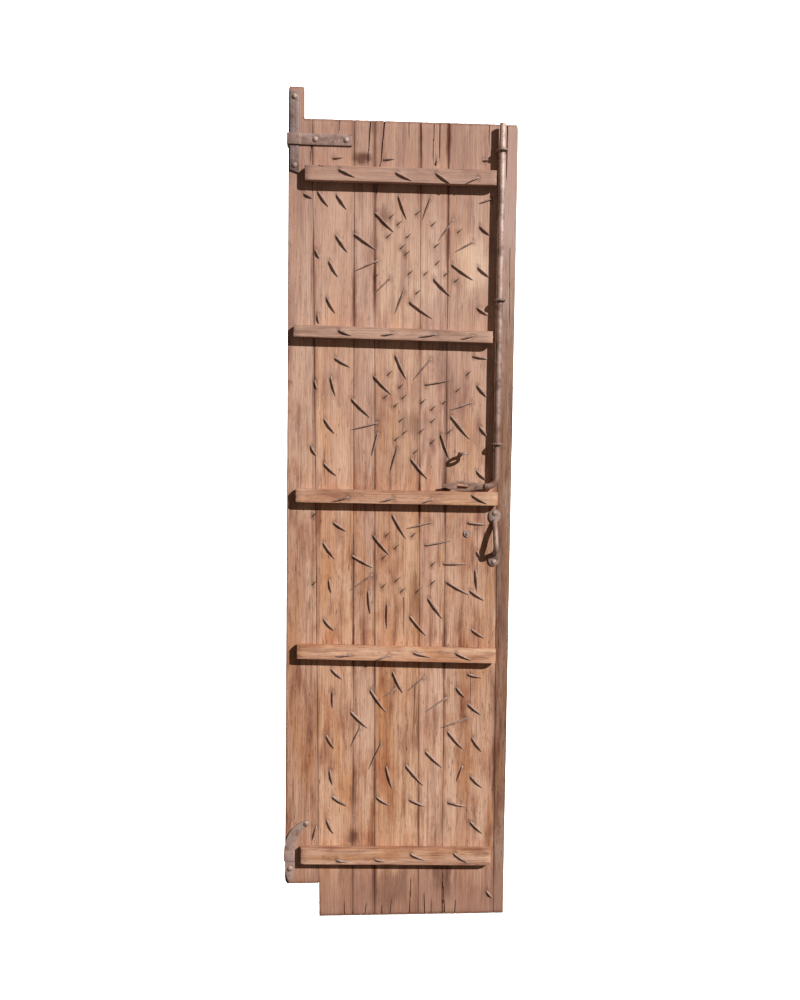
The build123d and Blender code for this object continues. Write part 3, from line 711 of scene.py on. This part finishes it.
def worn(bm, name, along, outline, long_sides, edge_mm, end_mm, creep_mm, seed):
    """Wear a laid plank: rounded edges, sunk grain, frayed ends, and sides that crept outwards."""
    box_low, box_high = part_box(name)
    middle_y = (box_low.y + box_high.y) / 2
    half_y = (box_high.y - box_low.y) / 2
    sides = sides_of(outline)
    from_edge = bm.verts.layers.float.new("from_edge")
    for vert in bm.verts:
        point = Vector((vert.co.x, vert.co.z))
        length, across = (point.y, point.x) if along == "z" else (point.x, point.y)
        gaps = [gap_to(side, point) for side in sides]
        edge_gap = min(gaps[i] for i in long_sides)
        end_gap = min(g for i, g in enumerate(gaps) if i not in long_sides)
        vert[from_edge] = edge_gap
        on_face = abs(abs(vert.co.y - middle_y) - half_y) < ON_FACE_MM * MM
        drift = noise_at(seed, across * RADIUS_TURNS_PER_M, length / (RADIUS_ALONG_MM * MM))
        radius = edge_mm * (1 + RADIUS_DRIFT * drift)
        if on_face:
            sink = wear(edge_gap, radius) + wear(end_gap, end_mm) + face_relief(across, length, seed)
            vert.co.y -= math.copysign(min(sink * MM, half_y * SINK_LIMIT), vert.co.y - middle_y)
        for i, (_, _, inward, _) in enumerate(sides):
            if gaps[i] > ON_SIDE_MM:
                continue
            if i in long_sides:
                wander = noise_at(seed * SIDE_SEED, 0, length / (SIDE_ALONG_MM * MM))
                push = SIDE_WANDER_MM * wander - creep_mm
                push += radius * CORNER_SHARE if on_face else 0
            else:
                fray = noise_at(across / (FRAY_ACROSS_MM * MM), seed, FRAY_ROW)
                push = end_mm * (FRAY_SHARE + FRAY_SHARE * fray)
                push += end_mm * CORNER_SHARE if on_face else 0
            vert.co += Vector((inward.x, 0, inward.y)) * push * MM


print("a side wanders by", SIDE_WANDER_MM, "mm in about every", SIDE_ALONG_MM, "mm")

# %% [markdown]
# ## Splits
#
# Splits follow the grain, mostly from the ends of a board. Three cuts with a plane, one on the line
# and one on each side of it, keep the wood round it flat. The points on the line itself sink, which
# leaves a V.

# %% Splits
# Only corners that lie in this depth behind the inner face are cut and sunk.
SPLIT_ZONE_MM = 8
# The cuts reach this far past the ends of the split, and this far to each side of it.
SPLIT_END_SLACK_MM = 10
SPLIT_HALF_ZONE_MM = 14
# A cut takes over corners nearer it than the first, and those nearer the line than the second sink.
CUT_TOUCH_MM = 0.02
ON_LINE_MM = 0.06
# Corners up to this share of the split's length before its start sink too.
START_SLACK = 0.02
# Its depth changes along it: by this share, round a mean share, in about this length.
RAGGED_MEAN = 0.85
RAGGED_SHARE = 0.3
RAGGED_MM = 9


def open_split(bm, x0, z0, x1, z1, width_mm, deep_mm):
    """Sink a V-shaped split into the inner face between two points, deepest near the first."""
    start = Vector((x0 * MM, 0, z0 * MM))
    run = Vector(((x1 - x0) * MM, 0, (z1 - z0) * MM))
    length = run.length
    run.normalize()
    across = Vector((run.z, 0, -run.x))
    back = inner_y + SPLIT_ZONE_MM * MM
    slack = SPLIT_END_SLACK_MM * MM

    def near(point):
        offset = point - start
        beside = abs(offset.dot(across)) < SPLIT_HALF_ZONE_MM * MM
        return point.y < back and beside and -slack < offset.dot(run) < length + slack

    for offset in (-width_mm / 2, 0, width_mm / 2):
        faces = [f for f in bm.faces if near(f.calc_center_median())]
        edges = [e for f in faces for e in f.edges]
        corners = [v for f in faces for v in f.verts]
        # A dict drops what comes twice and keeps the order, so every run cuts in the same order.
        geometry = dict.fromkeys([*faces, *edges, *corners])
        bmesh.ops.bisect_plane(bm, geom=list(geometry), dist=CUT_TOUCH_MM * MM,
                               plane_co=start + across * offset * MM, plane_no=across)
    for vert in bm.verts:
        offset = vert.co - start
        t = offset.dot(run) / length
        on_line = abs(offset.dot(across)) < ON_LINE_MM * MM
        if vert.co.y < back and on_line and -START_SLACK <= t <= 1:
            ragged = RAGGED_MEAN + RAGGED_SHARE * noise.noise(vert.co / (RAGGED_MM * MM))
            vert.co.y += deep_mm * MM * math.sqrt(max(0, 1 - t)) * ragged


print("mm that can split:", SPLIT_ZONE_MM, "of a thickness of", (outer_y - inner_y) / MM)

# %% [markdown]
# ## Tongues, grooves and corners
#
# The boards are held in line by a tongue on each left edge that fits a groove in the board before it.
# The tongue is what stops daylight in the seams, so it is drawn out of the side faces too. The
# stile ends above the leaf's foot, so the tongue beside it starts at the foot of the stile.
#
# The outer corners of the leaf are knocked round. The points near a corner are drawn in to an arc.

# %% Tongues, grooves and corners
TONGUE_OUT_MM = 7.5
TONGUE_TAPER = 0.85
GROOVE_IN_MM = 6.5
# A face whose normal has this much of a direction faces that way.
FACING = 0.9
# The frame's zero is the foot of the stile.
TONGUE_FROM_Z = {"board_2": 0}
# Roots, which have no common measure, so that no two places of the grid weigh the same.
ORDER_WEIGHTS = Vector((1, math.sqrt(2), math.sqrt(3)))


def in_order(bm):
    """Put edges and faces in the order of their places, as an extrusion's own order changes."""
    bm.edges.sort(key=lambda e: ORDER_WEIGHTS.dot(e.verts[0].co + e.verts[1].co))
    bm.faces.sort(key=lambda f: ORDER_WEIGHTS.dot(f.calc_center_median()))


def tongue_and_groove(bm, name):
    """Draw a tongue out of the left side and sink a groove in the right side."""
    box_low, box_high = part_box(name)
    half = GROOVE_SHARE * (box_high.y - box_low.y) / 2
    jobs = []
    if name in HAS_TONGUE:
        jobs.append((-1, -TONGUE_OUT_MM, TONGUE_FROM_Z.get(name, leaf_low.z)))
    if name != "closing_board":
        jobs.append((1, -GROOVE_IN_MM, leaf_low.z))
    for side, shift_mm, low_z in jobs:
        band = [f for f in bm.faces if f.normal.x * side > FACING]
        band = [f for f in band if abs(f.calc_center_median().y) < half]
        band = [f for f in band if f.calc_center_median().z > low_z]
        grown = bmesh.ops.extrude_face_region(bm, geom=band)["geom"]
        verts = [g for g in grown if isinstance(g, bmesh.types.BMVert)]
        bmesh.ops.delete(bm, geom=band, context="FACES_KEEP_BOUNDARY")
        bmesh.ops.translate(bm, verts=verts, vec=(shift_mm * MM, 0, 0))
        if side < 0:
            bmesh.ops.scale(bm, verts=verts, vec=(1, TONGUE_TAPER, 1))
    in_order(bm)


def round_corner(bm, x, z, side_x, side_z, radius_mm):
    """Round a corner of the outline; the two sides say which way it points, as 1 or -1."""
    radius = radius_mm * MM
    centre = Vector((x - side_x * radius, 0, z - side_z * radius))
    for vert in bm.verts:
        offset = vert.co - centre
        offset.y = 0
        if offset.x * side_x > 0 and offset.z * side_z > 0 and offset.length > radius:
            inside = offset.normalized() * radius
            vert.co.x, vert.co.z = centre.x + inside.x, centre.z + inside.z


print("tongue mm:", TONGUE_OUT_MM, "groove mm:", GROOVE_IN_MM)

# %% [markdown]
# ## Stains and bleaching
#
# The last step on a plank paints what its material asks for: darker seams, painted shade deep in the
# splits, iron stains at the nails, grey at the foot, dust towards the head, and patches that the sun
# has bleached. The places are in millimetres, across from the pivot line and up from the foot of the
# stile.

# %% Where the wood is stained and bleached
# Place across and up, half width, half height, and strength.
STAINS = [
    (155, 1745, 26, 16, 0.8),
    (148, 118, 16, 24, 0.75),
    (204, 1610, 10, 30, 0.5),
    (370, 20, 30, 60, 0.5),
    (270, 1130, 30, 34, 0.3),
    (292, 700, 14, 60, 0.3),
    (360, 1000, 16, 70, 0.3),
    (240, -20, 60, 60, 0.35),
]
BLEACHED = [
    (417, 1500, 40, 62, 0.95),
    (300, 1480, 34, 120, 0.35),
    (95, 1620, 20, 70, 0.35),
]
LEDGE_BLEACHED = [(468, 938, 26, 40, 0.8)]
# How much dust lies on the wood, from which height and to which, in mm above the leaf's foot.
DUST = (0.34, 700, 1750)
CLOSING_DUST = (0.75, 1200, 1800)
SPOT_RAGGED = 0.45
SPOT_CORE, SPOT_RIM = 0.45, 1.15


def spots(table, x, z, rough):
    """Strength of the strongest soft-edged spot at a place."""
    best = 0
    for spot_x, spot_z, half_x, half_z, strength in table:
        reach = math.hypot((x - spot_x) / half_x, (z - spot_z) / half_z) + SPOT_RAGGED * rough
        best = max(best, strength * (1 - smooth_step(SPOT_CORE, SPOT_RIM, reach)))
    return best


print("stains:", len(STAINS), "bleached patches:", len(BLEACHED) + len(LEDGE_BLEACHED))

# %% [markdown]
# Seams are dark where dirt has caught, and bare where it has been rubbed off, so their tone drifts
# along the board. Every soft limit is made ragged with the same noise, so none is a straight line.

# %% Dirt in the seams, painted shade in the splits, and stains at the nails
# Raggedness is a coarse noise and half as much of a fine one, with sizes across and along in mm.
# Each noise is read along a row of its own, so that none repeats another.
COARSE_ACROSS_MM, COARSE_ALONG_MM, COARSE_ROW = 30, 80, 3.3
FINE_ACROSS_MM, FINE_ALONG_MM, FINE_ROW = 9, 22, 7.1
FINE_SHARE = 0.5
# Dirt in the seams drifts along them. It is full up to the first distance from an edge and gone at
# the second, and never weaker there than the least.
DRIFT_ACROSS_MM, DRIFT_ALONG_MM, DRIFT_ROW = 80, 170, 9.1
DRIFT_MEAN, DRIFT_SHARE = 0.5, 1.4
SEAM_FROM_MM, SEAM_TO_MM = 0.5, 7
SEAM_LEAST = 0.12
# Painted shade darkens a split, and all else this deep behind the inner face, from the first depth on,
# and is darkest at the second one.
SPLIT_SHADE_FROM_MM, SPLIT_SHADE_TO_MM = 0.8, 3
SPLIT_SHADE_DARKNESS = 0.9
# A nail's stain: full up to the first distance, gone at the second, and drawn out along the grain.
NAIL_STAIN_MM = (2.5, 9)
NAIL_STAIN_LIMIT_MM = 12
NAIL_STAIN_DRAWN = 0.7


def raggedness(x, z):
    """The noise that makes every soft limit on the wood uneven."""
    coarse = noise_at(x / COARSE_ACROSS_MM, COARSE_ROW, z / COARSE_ALONG_MM)
    return coarse + FINE_SHARE * noise_at(x / FINE_ACROSS_MM, FINE_ROW, z / FINE_ALONG_MM)


def seam_dirt_and_split_shade(vert, x, z, rough, gap_mm, strength, upright):
    """How dark dirt makes the seams, and painted shade the splits and all else deep behind an upright
    board's face.
    """
    drift = noise_at(x / DRIFT_ACROSS_MM, DRIFT_ROW, z / DRIFT_ALONG_MM)
    drift = DRIFT_MEAN + DRIFT_SHARE * drift
    near = 1 - smooth_step(SEAM_FROM_MM, SEAM_TO_MM + SEAM_TO_MM * rough, gap_mm)
    sunk = 0
    if vert.co.y < 0 and upright:
        sunk = smooth_step(SPLIT_SHADE_FROM_MM, SPLIT_SHADE_TO_MM, (vert.co.y - inner_y) / MM)
    return min(1, max(strength * near * max(SEAM_LEAST, drift), SPLIT_SHADE_DARKNESS * sunk))


def nail_stain(x, z):
    """How dark iron has stained the wood round the nearest nail."""
    darkest = 0
    for nail_x, nail_z, strength in nail_points:
        gap = math.hypot(x - nail_x, (z - nail_z) * NAIL_STAIN_DRAWN)
        if gap < NAIL_STAIN_LIMIT_MM:
            darkest = max(darkest, strength * (1 - smooth_step(*NAIL_STAIN_MM, gap)))
    return darkest


print("darkest stain at the first nail:", nail_stain(*nail_points[0][:2]))

# %% [markdown]
# Rain has turned the foot grey, and it seldom reaches the head, which has caught dust. Both changes
# fade over some height, and the ragged noise moves that height up and down.

# %% Painting the attributes
ATTRIBUTES = ("edge", "stain", "grey", "dust", "bleach", "weather")
# Heights in mm above the leaf's foot between which a change sets in or fades, and its strength.
FOOT_MM = (60, 170)
HEAD_MM = (1640, 1860)
WEATHER_MM = (1500, 1850)
FOOT_GREY, HEAD_GREY = 0.7, 0.3
WEATHER_SHARE, WEATHER_LEAST = 0.5, 0.5
# The ragged noise moves those heights by up to about this much.
RAGGED_HEIGHT_MM = 60
RAGGED_DUST_MM = 120


def paint(bm, along, seam_strength, dust):
    """Give every corner the attributes that the wood material reads."""
    upright = along == "z"
    from_edge = bm.verts.layers.float["from_edge"]
    layers = {name: bm.verts.layers.float.new(name) for name in ATTRIBUTES}
    for vert in bm.verts:
        x, z = vert.co.x / MM, vert.co.z / MM
        height = z - leaf_low.z / MM
        rough = raggedness(x, z)
        ragged_height = height + RAGGED_HEIGHT_MM * rough
        foot = 1 - smooth_step(*FOOT_MM, ragged_height)
        head = smooth_step(*HEAD_MM, ragged_height)
        stained = spots(STAINS, x, z, rough) if upright else 0
        dust_share, *dust_mm = dust
        weather = max(smooth_step(*WEATHER_MM, height), foot)
        # The edge attribute holds seam dirt and painted shade in the splits and other deep places.
        dirt_and_split_shade = seam_dirt_and_split_shade(vert, x, z, rough, vert[from_edge], seam_strength, upright)
        vert[layers["edge"]] = dirt_and_split_shade
        vert[layers["stain"]] = max(stained, nail_stain(x, z))
        vert[layers["grey"]] = max(foot * FOOT_GREY, head * HEAD_GREY) if upright else 0
        vert[layers["dust"]] = dust_share * smooth_step(*dust_mm, height + RAGGED_DUST_MM * rough)
        vert[layers["bleach"]] = spots(BLEACHED if upright else LEDGE_BLEACHED, x, z, rough)
        vert[layers["weather"]] = WEATHER_SHARE * weather * (WEATHER_LEAST + max(0, rough))


print("attributes:", ATTRIBUTES)

# %% [markdown]
# ## Finishing a piece
#
# A finished mesh becomes an object at the origin with its place in its mesh. A wooden piece stands
# for the board or ledge that the frame has there, and rides with the leaf.

# %% Finishing a piece
WOOD_SHARP_DEG = 40


def piece_from(bm, name, material, sharp_deg):
    """An object made from a bmesh, smooth except at edges sharper than an angle."""
    for face in bm.faces:
        face.smooth = True
    mesh = bpy.data.meshes.new(name)
    bm.to_mesh(mesh)
    bm.free()
    mesh.set_sharp_from_angle(angle=math.radians(sharp_deg))
    mesh.materials.append(material)
    piece = bpy.data.objects.new(name, mesh)
    bpy.context.collection.objects.link(piece)
    print(name, "faces:", len(mesh.polygons))
    return piece


def finished_wood(bm, name, material):
    """Make the wooden piece that stands for a node."""
    bmesh.ops.recalc_face_normals(bm, faces=bm.faces)
    piece = piece_from(bm, name + "_wood", material, WOOD_SHARP_DEG)
    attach(piece, "leaf")
    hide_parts(name)


# %% [markdown]
# ## Boards
#
# Each board came from another place in the log, so each has its own tone. They are palest in the
# middle of the leaf, and the narrow closing board has gone dark and grey with handling. Long splits
# run down from the head, and the foot is frayed by rain.

# %% Tones and splits of the boards
BOARD_TONES = {
    "board_2": "#d4aa8c",
    "board_3": "#cda58c",
    "board_4": "#d4ab8c",
    "board_5": "#d2ab92",
    "board_6": "#d0a98e",
    "closing_board": "#a08270",
}
# From x, z to x, z in mm, then width and depth in mm. Most start at an end of the board.
SPLITS = {
    "board_2": [
        (100, 1833, 98, 1790, 2.4, 5),
        (128, -82, 127, -52, 2.4, 6),
        (70, 1050, 70, 960, 1.6, 3),
    ],
    "board_3": [
        (172, 1833, 166, 1728, 3.4, 10),
        (149, -82, 146, -48, 3.0, 7),
        (178, -82, 181, -48, 2.6, 6),
    ],
    "board_4": [
        (205, 1833, 196, 1729, 4.0, 12),
        (195, 1728, 185, 1646, 3.0, 8),
        (220, -82, 220, -54, 3.0, 7),
        (264, 700, 265, 606, 2.0, 4),
        (289, -82, 290, 13, 3.2, 9),
        (240, -82, 243, -40, 2.2, 5),
        (294, 485, 293, 362, 1.8, 3.5),
        (262, 1833, 262, 1790, 2.2, 5),
    ],
    "board_5": [
        (321, 1833, 320, 1741, 3.4, 9),
        (335, 1833, 335, 1746, 3.0, 9),
        (326, -82, 323, -26, 3.0, 8),
        (342, -82, 341, -50, 2.4, 5),
    ],
    "board_6": [
        (371, -82, 366, 38, 3.4, 12),
        (375, -82, 369, 20, 3.4, 12),
        (452, 1833, 451, 1780, 2.2, 5),
        (430, 520, 430, 420, 1.8, 3),
        (400, -82, 402, -46, 2.4, 5),
    ],
    "closing_board": [
        (495, 1833, 494, 1700, 3.0, 8),
        (506, 1538, 508, 1351, 2.0, 4),
    ],
}
print("splits:", {name: len(splits) for name, splits in SPLITS.items()})

# %% Boards
BOARD_EDGE_MM = 0.8
BOARD_END_MM = 1.6
BOARD_CREEP_MM = 0.6
# A board's number times these gives the shift of its pattern and the seed of its wear.
BOARD_SHIFT = 3.7
BOARD_SEED = 7.3
BOARD_SEAMS = 0.8
CLOSING_SEAMS = 0.3
CLOSING_CORNER_MM = 9

for number, (name, tint) in enumerate(BOARD_TONES.items(), start=1):
    closing = name == "closing_board"
    wood = weathered_softwood("weathered_pine_" + name, "z", tint, number * BOARD_SHIFT)
    plank, outline, long_sides = laid_plank(name, "z")
    tongue_and_groove(plank, name)
    worn(plank, name, "z", outline, long_sides, BOARD_EDGE_MM, BOARD_END_MM, BOARD_CREEP_MM,
         number * BOARD_SEED)
    for split in SPLITS[name]:
        open_split(plank, *split)
    if closing:
        round_corner(plank, *outline[2], 1, 1, CLOSING_CORNER_MM)
    paint(plank, "z", CLOSING_SEAMS if closing else BOARD_SEAMS, CLOSING_DUST if closing else DUST)
    finished_wood(plank, name, wood)

# %% [markdown]
# ## Pivot stile
#
# The stile carries the leaf. Its top stands up above the leaf as a wooden post that turned in the
# lintel, and its foot is cut off short. The plank is laid as the others are, up to the head of the
# leaf. One column of its grid eases over to the right side of the post as it nears the head, and
# the post is extruded from what lies left of that column, in a few steps.

# %% Limits of the stile
# Corners within this much of a height are at that height.
SAME_HEIGHT_MM = 1

stile_foot, stile_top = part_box("pivot_stile")[0].z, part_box("pivot_stile")[1].z
head_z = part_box("board_2")[1].z
stile_points = [v.co for v in nodes["pivot_stile"].data.vertices]
face_points = [p for p in stile_points if abs(p.y) > TONGUE_HALF_MM * MM]
at_head = [p.x for p in face_points if abs(p.z - head_z) < SAME_HEIGHT_MM * MM]
at_foot = [p.x for p in face_points if abs(p.z - stile_foot) < SAME_HEIGHT_MM * MM]
post_left = min(p.x for p in stile_points)
post_right, head_right, foot_right = min(at_head), max(at_head), max(at_foot)
print("post", post_left, post_right, "head", head_right, "foot", foot_right)

# %% Stile up to the head
# The column starts to ease over at this share of the height.
POST_EASE = 0.85

head_width = head_right - post_left
count = columns_for(head_width)
rows = round((head_z - stile_foot) / MM / CELL_ALONG_MM)
stile = grid_block(count - 1, rows - 1)
off_post = [abs(post_left + spread(c, count, head_width) - post_right) for c in range(count)]
post_column = off_post.index(min(off_post))
for vert in stile.verts:
    u, v, w = vert.co
    column = round(u * count)
    right = foot_right + (head_right - foot_right) * w
    x = post_left + spread(column, count, right - post_left)
    if column == post_column:
        x += (post_right - x) * smooth_step(POST_EASE, 1, w)
    vert.co = (x, depth_at(v, inner_y, outer_y), stile_foot + (head_z - stile_foot) * w)
stile.normal_update()
tongue_and_groove(stile, "pivot_stile")
print("columns:", count, "of which left of the post's side:", post_column, "rows:", rows)

# %% Post, wear and finish of the stile
POST_STEPS = 9
ON_TOP_MM = 0.1
STILE_EDGE_MM = 0.9
STILE_END_MM = 1.6
STILE_CREEP_MM = 0.5
STILE_LONG_SIDES = (1, 3, 5)
STILE_SEED = 61.7
STILE_SHIFT = 31
STILE_TONE = "#c8a086"
STILE_SEAMS = 0.6
STILE_SPLIT = (39, 1820, 32, 1733, 3.0, 8)
FOOT_CORNER_MM = 12
POST_LEFT_CORNER_MM = 6
POST_RIGHT_CORNER_MM = 5

crown = [f for f in stile.faces if f.normal.z > FACING]
crown = [f for f in crown if abs(f.calc_center_median().z - head_z) < ON_TOP_MM * MM]
crown = [f for f in crown if f.calc_center_median().x < post_right]
for _ in range(POST_STEPS):
    grown = bmesh.ops.extrude_face_region(stile, geom=crown)["geom"]
    bmesh.ops.delete(stile, geom=crown, context="FACES_KEEP_BOUNDARY")
    crown = [g for g in grown if isinstance(g, bmesh.types.BMFace)]
    lifted = [g for g in grown if isinstance(g, bmesh.types.BMVert)]
    bmesh.ops.translate(stile, verts=lifted, vec=(0, 0, (stile_top - head_z) / POST_STEPS))
in_order(stile)
stile_outline = [
    (post_left, stile_foot), (foot_right, stile_foot), (head_right, head_z),
    (post_right, head_z), (post_right, stile_top), (post_left, stile_top),
]
worn(stile, "pivot_stile", "z", [Vector(c) for c in stile_outline], STILE_LONG_SIDES,
     STILE_EDGE_MM, STILE_END_MM, STILE_CREEP_MM, STILE_SEED)
round_corner(stile, post_left, stile_foot, -1, -1, FOOT_CORNER_MM)
round_corner(stile, post_left, stile_top, -1, 1, POST_LEFT_CORNER_MM)
round_corner(stile, post_right, stile_top, 1, 1, POST_RIGHT_CORNER_MM)
open_split(stile, *STILE_SPLIT)
paint(stile, "z", STILE_SEAMS, DUST)
stile_wood = weathered_softwood("weathered_pine_stile", "z", STILE_TONE, STILE_SHIFT)
finished_wood(stile, "pivot_stile", stile_wood)

# %% [markdown]
# ## Ledges
#
# The ledges were sawn, not planed. Nothing covers their edges, so these are worn rounder than the
# boards' edges, and the upper edge catches the sun. A ledge is the same plank as a board, laid
# along the other axis.

# %% Ledges
LEDGE_TONES = {
    "ledge_1": "#c49d84",
    "ledge_2": "#bd957b",
    "ledge_3": "#d0a586",
    "ledge_4": "#dbb193",
    "ledge_5": "#d0aa90",
}
LEDGE_EDGE_MM = 2.2
LEDGE_END_MM = 3.0
LEDGE_CREEP_MM = -0.3
LEDGE_SHIFT = 4.1
LEDGE_SEED = 5.1
LEDGE_SEAMS = 0.2
FIRST_LEDGE_NUMBER = 11
TOP_LEDGE_SPLIT = (20, 1728, 66, 1716, 3.0, 6)

for number, (name, tint) in enumerate(LEDGE_TONES.items(), start=FIRST_LEDGE_NUMBER):
    wood = weathered_softwood("weathered_pine_" + name, "x", tint, number * LEDGE_SHIFT)
    plank, outline, long_sides = laid_plank(name, "x")
    worn(plank, name, "x", outline, long_sides, LEDGE_EDGE_MM, LEDGE_END_MM, LEDGE_CREEP_MM,
         number * LEDGE_SEED)
    if name == "ledge_1":
        open_split(plank, *TOP_LEDGE_SPLIT)
    paint(plank, "x", LEDGE_SEAMS, DUST)
    finished_wood(plank, name, wood)

# %% [markdown]
# ## Iron work
#
# The frame's iron has the true shapes but knife-sharp edges, and a forged edge is soft. A weld closes
# each shape, and a narrow bevel on its sharp edges catches the light. The nails and the riveted pin
# are too small for a bevel to show, so they stay as they are.

# %% Iron work
WELD_MM = 0.02
# Triangles that meet at less than this are one flat face.
FLAT_DEG = 1
HARD_EDGE_DEG = 38
SOFT_EDGE_MM = 0.7
IRON_SHARP_DEG = 35
# Hands have darkened the bolt fully up to the first height above its foot, and not from the second.
HANDLED_MM = (30, 90)
IRON_OF = {
    "bolt_rod": "bolt",
    "post_strap": "post_strap",
    "cross_strap": "cross_strap",
    "pivot_shoe": "shoe",
}


def softened(name, iron, body):
    """A copy of an iron node with its sharp edges hammered soft."""
    bm = bmesh.new()
    bm.from_mesh(nodes[name].data)
    bmesh.ops.remove_doubles(bm, verts=bm.verts, dist=WELD_MM * MM)
    bmesh.ops.dissolve_limit(bm, angle_limit=math.radians(FLAT_DEG), verts=bm.verts, edges=bm.edges)
    hard = math.radians(HARD_EDGE_DEG)
    sharp = [e for e in bm.edges if e.is_manifold and e.calc_face_angle() > hard]
    bmesh.ops.bevel(bm, geom=sharp, offset=SOFT_EDGE_MM * MM, offset_type="OFFSET", segments=2,
                    profile=0.5, affect="EDGES", material=-1, clamp_overlap=True)
    if name == "bolt_rod":
        handled = bm.verts.layers.float.new("handled")
        foot = min(vert.co.z for vert in bm.verts)
        for vert in bm.verts:
            vert[handled] = 1 - smooth_step(*HANDLED_MM, (vert.co.z - foot) / MM)
    piece = piece_from(bm, name + "_iron", iron, IRON_SHARP_DEG)
    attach(piece, body)
    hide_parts(name)


wooden = {*BOARD_TONES, "pivot_stile", *LEDGE_TONES}
for name in sorted(n for n in nodes if n not in wooden):
    if "nails" in name or name == "split_pin":
        nodes[name].data.materials.clear()
        nodes[name].data.materials.append(irons["small_nail" if name.startswith("small") else "nail"])
    else:
        softened(name, irons[IRON_OF.get(name, "handle")], "bolt" if name == "bolt_rod" else "leaf")
